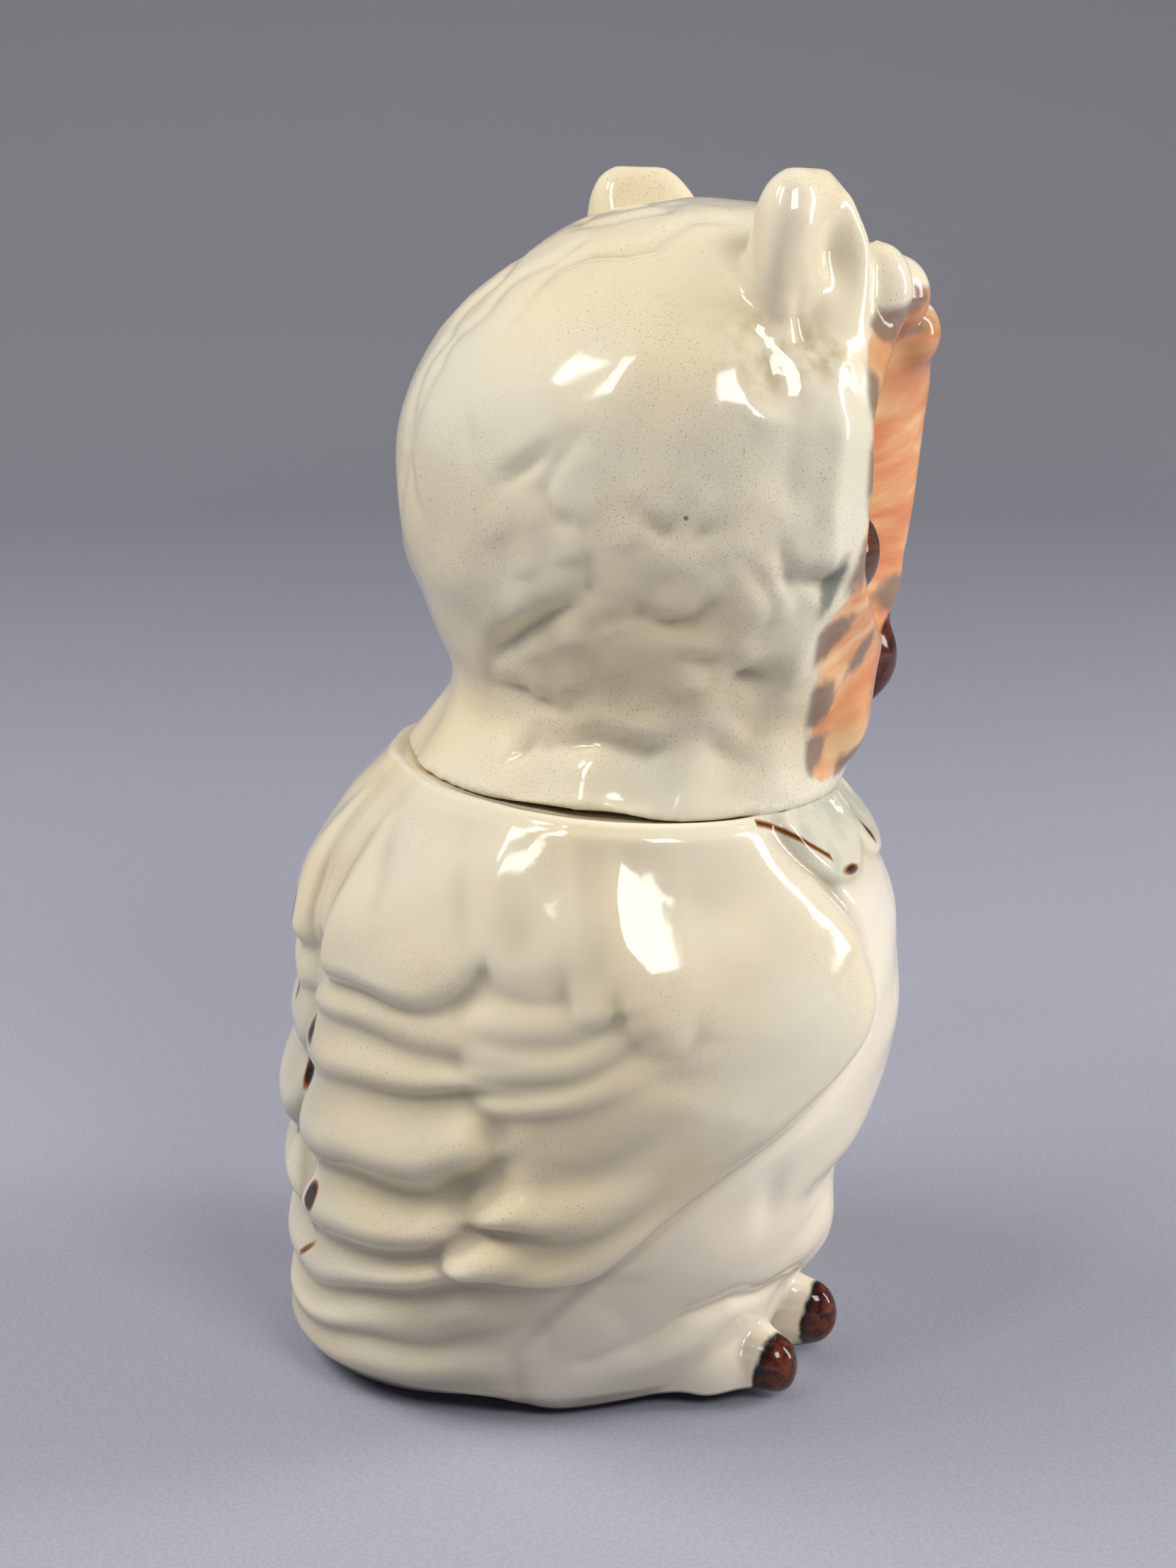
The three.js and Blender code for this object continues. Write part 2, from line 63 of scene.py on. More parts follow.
# %% Tools for clay
import math

import bmesh
import bpy
import numpy as np
from mathutils import Matrix, Vector

MM = 0.001
# the jar's own axis lies this far behind the middle of the box
BODY_AXIS_Y = 6.141


def rise(start, end, value):
    t = np.clip((value - start) / (end - start), 0, 1)
    return t * t * (3 - 2 * t)


def shoulder(t):
    t = np.clip(t, 0, 1)
    return t * (2 - t)


def joined(a, b, blend):
    near = np.maximum(blend - np.abs(a - b), 0) / blend
    return np.maximum(a, b) + near * near * blend / 4


def along(table, z, column=1):
    table = np.asarray(table, float)
    height, value = table[:, 0], table[:, column]
    slope = np.gradient(value, height)
    slope[1:-1] = (value[2:] - value[:-2]) / (height[2:] - height[:-2])
    z = np.clip(z, height[0], height[-1])
    i = np.clip(np.searchsorted(height, z, side="right") - 1, 0, len(height) - 2)
    span = height[i + 1] - height[i]
    t = (z - height[i]) / span
    start = value[i] * (1 + 2 * t) * (1 - t) ** 2 + slope[i] * span * t * (1 - t) ** 2
    return start + value[i + 1] * t * t * (3 - 2 * t) - slope[i + 1] * span * t * t * (1 - t)


def reach(front, side, back, azimuth):
    s, c = np.sin(azimuth), np.cos(azimuth)
    return 1 / np.hypot(s / side, c / np.where(c > 0, front, back))


def polar(azimuth, r, z, y=0.0):
    return np.stack(np.broadcast_arrays(r * np.sin(azimuth), y - r * np.cos(azimuth), z), -1)


def soft_spot(across, up, half):
    return np.exp(-((across / half[0]) ** 2) - (up / half[1]) ** 2)


print("tools ready; a half rise gives", float(rise(0, 1, 0.5)))

# %% [markdown]
# ## Throwing a blank
# Both pieces are round enough to start on the wheel: a profile line goes from the underside, up the
# outside, over the edge and down the inside. `subdivide_edges` makes the line fine and `spin` turns it once
# round. Each point keeps the number of the corner that it lies after, so that the hand knows which skin it
# is touching, and how far along that skin it lies.

# %% Spin a profile into a blank
def drawn(bm, places):
    points = [bm.verts.new(place) for place in places]
    for start, end in zip(points, points[1:]):
        bm.edges.new((start, end))
    return points


def spun(bm, turns):
    bmesh.ops.spin(
        bm, geom=bm.verts[:] + bm.edges[:], cent=(0, 0, 0), axis=(0, 0, 1),
        angle=math.tau, steps=turns, use_merge=True, use_duplicate=False,
    )


def thrown(corners, cuts, turns):
    bm = bmesh.new()
    station = bm.verts.layers.float.new("station")
    points = drawn(bm, [(0, -r * MM, z * MM) for r, z in corners])
    for corner, point in enumerate(points):
        point[station] = corner
    for corner, count in enumerate(cuts):
        edge = [e for e in bm.edges if {v[station] for v in e.verts} == {corner, corner + 1}]
        bmesh.ops.subdivide_edges(bm, edges=edge, cuts=count)
    spun(bm, turns)
    return bm


def read_blank(bm, cuts):
    layer = bm.verts.layers.float["station"]
    station = np.array([v[layer] for v in bm.verts])
    place = np.array([v.co[:] for v in bm.verts])
    part = np.minimum(np.floor(station).astype(int), len(cuts) - 1)
    return part, station - part, np.arctan2(place[:, 0], -place[:, 1])


def between_rings(rings, part, share):
    rings = np.stack(rings)
    own = np.arange(len(part))
    return rings[part, own] * (1 - share)[:, None] + rings[part + 1, own] * share[:, None]


def shape_blank(bm, points):
    for vert, point in zip(bm.verts, points * MM):
        vert.co = point
    bmesh.ops.remove_doubles(bm, verts=bm.verts, dist=1e-6)
    bmesh.ops.recalc_face_normals(bm, faces=bm.faces)


def soften(bm, passes, verts=None):
    verts = verts or bm.verts[:]
    for _ in range(passes):
        bmesh.ops.smooth_vert(bm, verts=verts, factor=0.5, use_axis_x=True, use_axis_y=True, use_axis_z=True)


print("the wheel is ready")

# %% [markdown]
# ## The jar
# The body is an owl's: full at the breast, with wings folded over the sides, a tail behind and toes in front.
# Ten sections give its plain reach to the front, the side and the back. The wings, feathers, thighs and toes
# are swellings of that skin, because in the mould they are relief on one wall and not separate pieces.

# %% Measures of the jar
# height, then the reach to the front, the side and the back
JAR_SECTIONS = [
    (0, 47, 54, 72.5), (9, 50, 59, 78.5), (26, 55, 65, 76), (42, 61, 70.5, 73), (54, 67.5, 73, 71.5),
    (76, 79, 75, 70), (100, 81, 75.5, 68.5), (122, 78, 70.8, 65), (138, 72, 65.2, 58), (148, 64.5, 62.6, 50),
]
JAR_TOP, SEAT_Z, SEAT_SLOPE = 147.9, 149.9, 0.06
MOUTH_Y, MOUTH = -6, (49, 51, 42)
# height, then how far round from the front the wing starts, in degrees
WING_EDGE = [
    (22, 126), (41, 112), (58, 97), (70, 82), (79, 68), (87, 57), (95, 50.5), (106, 47.5), (120, 50),
    (132, 56), (146, 67), (152, 72),
]
# each crease runs towards the back: degrees from the front, then height
BACK_CREASES = [
    [(118, 116), (132, 114), (144, 112), (156, 108.5), (180, 107)],
    [(118, 101), (140, 98), (180, 97)],
    [(118, 95), (131, 91), (141, 87), (153, 84), (169, 82), (180, 81)],
    [(118, 82), (124, 77), (129, 71), (138, 64), (148, 61), (160, 60), (180, 58)],
    [(118, 67), (128, 58), (135, 51), (144, 46), (154, 42), (164, 41), (180, 40)],
    [(118, 51), (128, 45), (137, 40), (146, 35), (157, 30), (170, 26), (180, 25)],
    [(118, 33), (128, 28), (137, 24), (144, 20), (156, 18), (168, 16), (180, 15)],
    [(118, 12), (140, 6), (180, 3)],
]
BACK_SWELL = (1.6, 2.0, 4.6, 3.6, 2.8, 1.8, 1.0)
FORE_CREASES = [
    [(90, 122), (103, 117), (114, 116), (131, 116)], [(90, 119), (103, 113), (114, 106), (131, 105)],
    [(90, 114), (100, 107), (114, 97), (131, 95)], [(90, 104), (94, 101), (111, 90), (130, 85)],
    [(88, 92), (100, 83), (113, 74), (130, 71)], [(88, 76), (93, 72), (111, 58), (125, 58), (136, 57)],
    [(92, 58), (110, 44), (136, 43)],
]
FORE_SWELL = (0.9, 1.4, 1.5, 1.0, 3.4, 2.8)
# height, then how far round the front wing feathers reach
FORE_TIP = [
    (42, 134), (50, 136), (57, 132), (64, 127), (71, 125), (83, 126), (95, 131), (106, 131), (118, 131),
]
# middle and half width in degrees, lowest height, squareness
SHOULDER_LOBES = [
    (157, 26, 107, 5), (121, 9.5, 115.5, 4), (109, 5, 109, 3), (97.5, 7, 101, 2.6), (84, 15, 104, 2.6),
]
# how far a stroke stands out, below zero for a groove, its width, and its places
JAR_STROKES = [
    (-1.1, 4.5, [(166, 144), (157, 131), (154, 122)]), (-0.8, 4.0, [(139, 142), (135, 130), (131, 119)]),
    (-2.9, 2.6, [(47, 35), (56, 30), (67, 28), (77, 31), (89, 29), (99, 23), (111, 18)]),
    (0.9, 5.0, [(84, 22), (96, 16), (108, 12)]), (-0.6, 4.0, [(112, 40), (104, 33), (100, 24)]),
    (-0.8, 5.0, [(122, 38), (118, 26), (116, 12)]), (-1.5, 2.2, [(136, 57), (125, 59), (114, 61)]),
    (0.6, 6.0, [(100, 96), (90, 88), (78, 82)]),
]
# place, size and depth of each thumb mark
JAR_DENTS = [
    ((123, 127), (6, 6), 1.5), ((126, 83), (4.5, 4), 2.4), ((133, 64), (5, 8), 2.8),
    ((108, 123), (6, 8), 0.8), ((96, 97), (8, 4), 0.9), ((73, 58), (4, 9), 1.2),
    ((84, 118), (9, 9), 0.6), ((75, 126), (7, 7), 0.5), ((88, 134), (9, 5), 0.5),
]
# height, then where the strip down the back starts
BACK_PANEL = [(40, 181), (55, 176), (74, 180), (90, 180), (100, 177), (112, 174), (130, 172), (150, 170)]
BASE_Z = 1.5
# degrees from the front, then how far the uneven lower edge is lifted
BASE_LIFT = [
    (0, 2.5), (30, 1.5), (50, 1), (66, 1), (74, 2.4), (81, 1.4), (86, 2.2), (92, 1.8), (100, 1.3), (112, 0.6),
    (118, 0.6), (126, 2.2), (131, 3.8), (136, 4.2), (141, 3.8), (150, 2.6), (165, 1.8), (180, 1.5),
]
# degrees from the front, reach of the claw, height of the claw
TOES = [(65, 63, 7.8), (43, 61.4, 11.2), (21, 48, 8)]
TOE_HALF, CLAW_HALF = (9.3, 24, 15), (7.2, 8.8, 9.4)
THIGH = ((30, -27, 37), (25, 28, 16))
FOOT, FOOT_YAW = ((37, -11, 2), (20, 27, 19)), 50
BELLY_FOLD_Z = 53
MEAN_REACH = 70
print("measures of the jar:", len(JAR_SECTIONS), "sections,", len(BACK_CREASES), "creases")


# %% Swell feathers and limbs, draw strokes
def feathers(a, z, creases, swell):
    edges = [along(crease, a) for crease in creases]
    height = np.zeros_like(z)
    for upper, lower, most in zip(edges, edges[1:], swell):
        bulge = np.sin(math.pi * np.clip((upper - z) / (upper - lower), 0, 1) ** 1.35)
        height += most * (np.hypot(bulge, 0.25) - 0.25) / 0.78
    return height


def limb(azimuth, z, at, half, side, yaw=0.0):
    turn = math.radians(-yaw * side)
    c, s = math.cos(turn), math.sin(turn)
    dx, dy = np.sin(azimuth), -np.cos(azimuth)
    ox, oy = at[0] * side, at[1]
    dx, dy = (c * dx - s * dy) / half[0], (s * dx + c * dy) / half[1]
    ox, oy = (c * ox - s * oy) / half[0], (s * ox + c * oy) / half[1]
    length = dx * dx + dy * dy
    middle = -(ox * dx + oy * dy)
    root = middle * middle - length * (ox * ox + oy * oy + ((z - at[2]) / half[2]) ** 2 - 1)
    return np.where(root > 0, (np.sqrt(np.maximum(root, 0)) - middle) / length, 0)


def wing_depth(a, z, plain):
    arc = np.radians(plain)
    slope = (along(WING_EDGE, z + 1) - along(WING_EDGE, z - 1)) / 2
    return (a - along(WING_EDGE, z)) * arc / np.hypot(1, slope * arc)


def dent(a, z, arc, at, size, depth):
    return -depth * soft_spot((a - at[0]) * arc, z - at[1], size)


def stroke(places, line):
    nearest, share = np.full(len(places), 1e9), np.zeros(len(places))
    lengths = np.linalg.norm(np.diff(line, axis=0), axis=1)
    before = 0.0
    for start, end, length in zip(line, line[1:], lengths):
        t = np.clip((places - start) @ (end - start) / length**2, 0, 1)
        distance = np.linalg.norm(places - start - t[:, None] * (end - start), axis=1)
        share = np.where(distance < nearest, (before + t * length) / lengths.sum(), share)
        nearest = np.minimum(distance, nearest)
        before += length
    return nearest, share


def thumbed(places, line, width):
    distance, share = stroke(places, line)
    return np.exp(-((distance / width) ** 1.4)) * np.sin(math.pi * np.clip(share, 0.08, 0.92)) ** 0.6


def unrolled(a, z):
    return np.stack(np.broadcast_arrays(np.radians(a) * MEAN_REACH, z), -1)


print("feathers, limbs and strokes can be made")


# %% Wings, back and bib in relief
def plain_reach(azimuth, z):
    return reach(*(along(JAR_SECTIONS, z, k) for k in (1, 2, 3)), azimuth)


def wing_step(on_wing, z):
    raised = 0.2 + 0.8 * rise(20, 58, z)
    step = 5.2 * shoulder(on_wing / 10) * raised * (1 - 0.75 * rise(118, 149, z))
    return step - 1.5 * np.exp(-((on_wing + 1.1) / 1.7) ** 2) * raised * rise(140, 128, z)


def front_feathers(a, z, arc):
    fore = rise(42, 47, z) * rise(120, 112, z) * rise(92, 120, a)
    scallop = feathers(a, z, FORE_CREASES, np.full(len(FORE_SWELL), 1.6))
    ends = shoulder((along(FORE_TIP, z) + scallop - a) * arc / 8)
    thick = 0.7 + 2.0 * rise(77, 68, z)
    return ends * fore * (thick + feathers(a, z, FORE_CREASES, FORE_SWELL))


def shoulder_scallops(a, z):
    lobe = np.full_like(a, 124.0)
    for middle, half, low, square in SHOULDER_LOBES:
        lobe = np.minimum(lobe, low + 9 * (np.abs(a - middle) / half) ** square)
    above = z - lobe
    thick = (1.8 + 0.9 * np.exp(-(((a - 100) / 8) ** 2)) + 1.9 * rise(126, 146, a)) * rise(76, 100, a)
    return thick * shoulder(above / (6 + 4 * rise(128, 114, a))) * (1 - rise(8, 42, above))


def back_strip(a, z, arc):
    tip = along(BACK_PANEL, z) + feathers(a, z, BACK_CREASES, np.full(len(BACK_SWELL), 1.2))
    strip = (1 - shoulder((tip - a) * arc / 7)) * rise(34, 50, z)
    quill = 0.5 + 0.25 * np.cos(0.42 * (z + 0.35 * (180 - a) * arc))
    return strip, quill


def bib_scallops(azimuth, z):
    bib = np.zeros_like(azimuth)
    for i in range(-2, 3):
        t = np.abs(np.degrees(azimuth) - 24 * i) / 13
        over = z - 131 - 9 * t**2.6
        bib = np.maximum(bib, shoulder(over / 4) * (1 - rise(6, 18, over)))
    return bib


print("plain reach to the side at half height: %.1f mm" % plain_reach(math.pi / 2, JAR_TOP / 2))


# %% The whole skin of the jar
def legs(r, azimuth, z):
    for side in (1, -1):
        r = joined(r, limb(azimuth, z, *THIGH, side), 8)
        r = joined(r, limb(azimuth, z, *FOOT, side, FOOT_YAW), 5)
        for toe, tip, claw_z in TOES:
            turn = math.radians(toe)
            toward = np.array((math.sin(turn), -math.cos(turn)))
            toe_at = (*(tip - TOE_HALF[1]) * toward, 3)
            claw_at = (*(tip - 0.5) * toward, claw_z)
            r = joined(r, limb(azimuth, z, toe_at, TOE_HALF, side, toe), 2.5)
            r = joined(r, limb(azimuth, z, claw_at, CLAW_HALF, side, toe), 0.8)
    return r


def jar_reach(azimuth, z):
    plain = plain_reach(azimuth, z)
    a = np.abs(np.degrees(azimuth))
    arc = np.radians(plain)
    on_wing = wing_depth(a, z, plain)
    wave = 1.6 * np.sin(0.11 * a + 0.9) + 1.1 * np.sin(0.23 * a)
    relief = wing_step(on_wing, z)
    relief += rise(117, 133, a) * feathers(a, z + 0.4 * wave, BACK_CREASES, BACK_SWELL)
    relief += front_feathers(a, z, arc)
    relief += shoulder_scallops(a, z + 0.5 * wave)
    strip, quill = back_strip(a, z, arc)
    r = plain + relief * (1 - 0.5 * strip) + strip * (quill - 0.6) * rise(148, 120, z)
    for height, width, spots in JAR_STROKES:
        line = unrolled(*np.array(spots, float).T)
        r += height * thumbed(unrolled(a, z), line, width)
    breast = 1 - rise(50, 75, a)
    r -= 2.2 * np.exp(-(((z - BELLY_FOLD_Z) / 5) ** 2)) * breast
    for at, size, depth in JAR_DENTS:
        r += dent(a, z, arc, at, size, depth)
    r = legs(r, azimuth, z)
    r += 2.2 * bib_scallops(azimuth, z) * rise(2, -3, on_wing)
    return r + 0.25 * np.sin(0.19 * z + 5 * azimuth) + 0.2 * np.sin(0.31 * z - 9 * azimuth)


print("reach of the breast: %.1f mm" % jar_reach(np.zeros(1), np.full(1, 100.0))[0])

# %% Throw and model the jar
JAR_CORNERS = [
    (0.5, 3), (42, 3), (45, 0), (50, 0), (56, 2), (60, 148), (58, 150), (48, 150), (48, 138), (64, 124),
    (55, 14), (50, 9), (0.5, 9),
]
JAR_CUTS, JAR_TURNS = (5, 1, 2, 2, 178, 2, 9, 5, 4, 34, 3, 8), 330
# the numbers of the skins between those corners that get a shape of their own
UNDERSIDE, OUTER_SKIN, LEDGE, INNER_WALL = 3, 4, 6, 9
JAR_WALL, INSIDE_TOP, INSIDE_LOW, FLOOR_Z = 5.5, 124.0, 14.0, 9.0
# the foot stands back under the edge, and the middle of the underside is hollow
FOOT_BACK, FOOT_WIDTH, FOOT_SLOPE, FOOT_HOLLOW = 12, 5, 3, 3.0


def tilted(points, share):
    points[..., 2] += SEAT_SLOPE * points[..., 1] * share
    return points


def jar_points(part, s, azimuth):
    zero = np.zeros_like(azimuth)
    foot = reach(*JAR_SECTIONS[0][1:], azimuth)
    lift = along(BASE_LIFT, np.abs(np.degrees(azimuth)))
    mouth = reach(*MOUTH, azimuth)
    top = jar_reach(azimuth, zero + JAR_TOP)
    foot_inside = foot - (FOOT_BACK + FOOT_WIDTH)

    def ring(r, z, y=0.0):
        return polar(azimuth, r, z, y)

    def wall(z, inset):
        return ring(plain_reach(azimuth, z) - inset, z)

    rings = [
        ring(zero, FOOT_HOLLOW), ring(foot_inside - FOOT_SLOPE, FOOT_HOLLOW), ring(foot_inside, 0.0),
        ring(foot - FOOT_BACK, 0.0), ring(jar_reach(azimuth, zero + BASE_Z), BASE_Z + lift),
        tilted(ring(top, JAR_TOP), 1), tilted(ring(top - 2.2, SEAT_Z), 1),
        tilted(ring(mouth, SEAT_Z, MOUTH_Y), 1), tilted(ring(mouth, SEAT_Z - 12, MOUTH_Y), 1),
        wall(INSIDE_TOP, JAR_WALL), wall(INSIDE_LOW, JAR_WALL + 2), wall(FLOOR_Z, JAR_WALL + 7),
        ring(zero, FLOOR_Z),
    ]
    points = between_rings(rings, part, s)
    ledge = part == LEDGE
    points[ledge, 2] += 0.9 * rise(0.42, 0.1, s[ledge])
    under = part == UNDERSIDE
    points[under, 2] = (BASE_Z + lift[under]) * s[under] ** 0.3
    skin = part == OUTER_SKIN
    z = BASE_Z + (JAR_TOP - BASE_Z) * s[skin]
    outer = polar(azimuth[skin], jar_reach(azimuth[skin], z), z + lift[skin] * rise(26, BASE_Z, z))
    points[skin] = tilted(outer, rise(112, JAR_TOP, z))
    inside = part == INNER_WALL
    z = INSIDE_TOP + (INSIDE_LOW - INSIDE_TOP) * s[inside]
    inset = JAR_WALL + 2 * rise(24, INSIDE_LOW, z)
    points[inside] = polar(azimuth[inside], plain_reach(azimuth[inside], z) - inset, z)
    return points


jar_bm = thrown(JAR_CORNERS, JAR_CUTS, JAR_TURNS)
shape_blank(jar_bm, jar_points(*read_blank(jar_bm, JAR_CUTS)) + (0, BODY_AXIS_Y, 0))
soften(jar_bm, 2)
print("jar:", len(jar_bm.verts), "points,", len(jar_bm.faces), "faces")

# %% [markdown]
# ## The head
# The head is thrown too, flange and all, but its ears, brows, eyes and beak overhang, which a turned skin
# can't do. So they are lumps of their own, pushed into the head, and a voxel remesh makes one skin of them
# all, as a sculptor does before going on. The face is pressed in from the front, in depth only.

# %% Measures of the head
# height, the middle's place in depth, then the reach to the front, the side and the back
HEAD_SECTIONS = [
    (150.2, -6, 57, 60, 51), (160, -8, 59, 56, 46), (171, -11, 60, 54, 43), (184, -14, 61, 58.6, 50),
    (203, -17, 62, 66, 60), (225, -18, 65, 68, 63.5), (246, -19, 64, 65, 60), (264, -21, 57, 55, 49),
    (278, -24, 43, 40, 33), (286, -27, 25, 24, 19), (289, -28, 0.01, 0.01, 0.01),
]
HEAD_INSIDE = [
    (170, -11, 47, 49.5, 36.5), (190, -15, 28, 54.5, 46.5), (225, -18, 22, 61, 57), (250, -19, 23, 56, 52),
    (270, -22, 19, 38, 34), (281, -26, 0.01, 0.01, 0.01),
]
HEAD_AXIS_Y = -18
FACE_HALF, FACE_Z, FACE_UP = 62, 224, 41
# height, then how far forward the ridge down the face lies, and how broad it is
KEEL = [
    (150, -60, 16), (160, -62, 14), (168, -66, 12), (176, -74, 10), (184, -83, 9.5), (190, -86.5, 10),
    (197, -86.5, 10), (205, -88, 10.5), (218, -89.5, 12), (231, -90.5, 13.5), (245, -91.6, 17),
    (256, -88.5, 22), (266, -79, 26), (276, -67, 26),
]
# each lump is a place and its half sizes
CHEEKS = [((24, -51, 171), (20, 11, 19), 9), ((46, -32, 177), (12, 12, 16), 8)]
EAR = [
    ((53, -28, 285.5), (6.6, 8, 10.6)), ((48, -38.5, 285.5), (6.6, 8, 10.6)),
    ((46, -44.5, 276.5), (7.4, 7, 10)), ((45, -27, 258), (13, 9, 14)), ((42, -43, 258), (12, 9, 14)),
]
BROWS = [((10, -79, 256), (11, 9.6, 10)), ((24, -68, 266), (10.5, 10, 10.5)), ((38, -57, 268), (9.5, 9, 12))]
EYE = ((29, -49, 206), (14, 15, 14))
BEAK = ((0, -72, 171.5), (8.4, 14, 16.5))
print("measures of the head:", len(HEAD_SECTIONS), "sections,", len(EAR), "balls in an ear")


# %% Press the face into the thrown head
LID_CORNERS = [
    (0.5, 281), (45, 170), (43, 150), (43, 141), (46, 141), (47, 143), (47, 150), (56, 150), (57, 152),
    (0.5, 289),
]
LID_CUTS, LID_TURNS = (50, 8, 5, 2, 1, 4, 5, 1, 120), 220
HEAD_HOLLOW, HEAD_SKIN = 0, 8
ROOF_Z, HOLLOW_Z, RIM_UNDER_Z, RIM_Z, CROWN_Z = 281, 170, 150.5, 151.8, 289
FLANGE_INSIDE, FLANGE_GAP, FLANGE_DEPTH = 6.2, 1.2, 9


def head_section(table, z, azimuth):
    y, front, side, back = (along(table, z, k) for k in (1, 2, 3, 4))
    return polar(azimuth, reach(front, side, back, azimuth), z, y)


def pressed(points, amount):
    x, y, z = np.abs(points[:, 0]), points[:, 1].copy(), points[:, 2]
    front = rise(0.05, 0.25, (HEAD_AXIS_Y - y) / 70)
    rim = np.cbrt((x / FACE_HALF) ** 3 + np.abs((z - FACE_Z) / FACE_UP) ** 3)
    floor = -44 - 0.1 * (FACE_HALF - x) - 15 * rise(210, 182, z) - 16 * rise(236, 264, z)
    y += (np.maximum(floor, y) - y) * rise(-1, 6, 45 * (1 - rim)) * front
    for at, half, blend in CHEEKS:
        inside = 1 - ((x - at[0]) / half[0]) ** 2 - ((z - at[2]) / half[2]) ** 2
        swell = -joined(-y, half[1] * np.sqrt(np.maximum(inside, 0)) - at[1], blend)
        y = np.where(inside > 0, y + (swell - y) * front * amount, y)
    keel = along(KEEL, z) + 18 * (x / along(KEEL, z, 2)) ** 2
    share = rise(154, 166, z) * rise(278, 262, z) * front
    y += (-joined(-y, -keel, 9) - y) * share
    return np.stack([points[:, 0], y, z], -1)


def lid_points(part, s, azimuth):
    zero = np.zeros_like(azimuth)
    mouth = reach(*MOUTH, azimuth)
    rim = reach(*HEAD_SECTIONS[0][2:], azimuth)

    def flange(inset, z):
        return tilted(polar(azimuth, mouth - inset, z, MOUTH_Y), 1)

    rings = [
        polar(azimuth, zero, *HEAD_INSIDE[-1][:2]),
        tilted(head_section(HEAD_INSIDE, zero + HOLLOW_Z, azimuth), 0.5),
        flange(FLANGE_INSIDE, SEAT_Z), flange(FLANGE_INSIDE, SEAT_Z - FLANGE_DEPTH),
        flange(2, SEAT_Z - FLANGE_DEPTH), flange(FLANGE_GAP, SEAT_Z - (FLANGE_DEPTH - 2)),
        flange(FLANGE_GAP, RIM_UNDER_Z),
        tilted(polar(azimuth, rim - 1.6, RIM_UNDER_Z, HEAD_SECTIONS[0][1]), 1),
        tilted(head_section(HEAD_SECTIONS, zero + RIM_Z, azimuth), 1),
        polar(azimuth, zero, *HEAD_SECTIONS[-1][:2]),
    ]
    points = between_rings(rings, part, s)
    inner = part == HEAD_HOLLOW
    z = ROOF_Z - (ROOF_Z - HOLLOW_Z) * (1 - np.cos(s[inner] * math.pi / 2)) ** 0.8
    points[inner] = tilted(head_section(HEAD_INSIDE, z, azimuth[inner]), rise(190, 150, z))
    skin = part == HEAD_SKIN
    z = RIM_Z + (CROWN_Z - RIM_Z) * np.sin(s[skin] * math.pi / 2)
    outer = pressed(head_section(HEAD_SECTIONS, z, azimuth[skin]), rise(153, 163, z))
    points[skin] = tilted(outer, rise(190, 150, z))
    return points


lid_bm = thrown(LID_CORNERS, LID_CUTS, LID_TURNS)
shape_blank(lid_bm, lid_points(*read_blank(lid_bm, LID_CUTS)))
print("thrown head:", len(lid_bm.verts), "points")


# %% Push on the ears, brows, eyes and beak
def ball(bm, at, half, side=1):
    made = bmesh.ops.create_icosphere(bm, subdivisions=3, radius=1)["verts"]
    middle = Vector((at[0] * side, at[1], at[2])) * MM
    place = Matrix.Translation(middle) @ Matrix.Diagonal((*half, 1000)) * MM
    bmesh.ops.transform(bm, matrix=place, verts=made)
    return made


for side in (1, -1):
    tuft = bmesh.new()
    for at, half in EAR:
        ball(tuft, at, half, side)
    hull = bmesh.ops.convex_hull(tuft, input=tuft.verts)
    bmesh.ops.delete(tuft, geom=list({*hull["geom_interior"], *hull["geom_unused"]}), context="VERTS")
    part = bpy.data.meshes.new("ear")
    tuft.to_mesh(part)
    lid_bm.from_mesh(part)
    tuft.free()
    bpy.data.meshes.remove(part)
    for at, half in (*BROWS, EYE):
        ball(lid_bm, at, half, side)
beak = ball(lid_bm, *BEAK)
for vert in beak:
    low = max(0.0, (BEAK[0][2] * MM - vert.co.z) / (BEAK[1][2] * MM))
    vert.co.x *= 1 - 0.55 * low
    vert.co.y += 0.006 * low * low
print("head with its lumps:", len(lid_bm.verts), "points")

# %% Make one skin of the head
VOXEL = 1.32
COLLAR_TOP = 0.157


def as_object(bm, name):
    mesh = bpy.data.meshes.new(name)
    bm.to_mesh(mesh)
    made = bpy.data.objects.new(name, mesh)
    bpy.context.collection.objects.link(made)
    return made


def throw_away(made):
    mesh = made.data
    bpy.data.objects.remove(made)
    bpy.data.meshes.remove(mesh)


def one_skin(bm, name):
    lumps = as_object(bm, name)
    bm.free()
    remesh = lumps.modifiers.new("one skin", "REMESH")
    remesh.mode = "VOXEL"
    remesh.voxel_size = VOXEL * MM
    skin = bpy.data.meshes.new_from_object(lumps.evaluated_get(bpy.context.evaluated_depsgraph_get()))
    throw_away(lumps)
    made = bmesh.new()
    made.from_mesh(skin)
    bpy.data.meshes.remove(skin)
    return made


lid_bm = one_skin(lid_bm, "head_lumps")
upper = [v for v in lid_bm.verts if v.co.z > COLLAR_TOP]
soften(lid_bm, 14, upper)
soften(lid_bm, 2)
print("one skin:", len(lid_bm.verts), "points")

# %% [markdown]
# ## Feathers on the head
# The head's feathers are soft: long diagonal grooves over the crown, thumb-sized hollows lower down, rows of
# small scales between them, pleats on the collar. A groove or a hollow is drawn as a stroke, a few places
# given by azimuth and height. The distance of every point from the stroke, with both sides folded together,
# says how far the skin sinks, and a soft ridge follows above each groove, where the tool pushed the clay up.

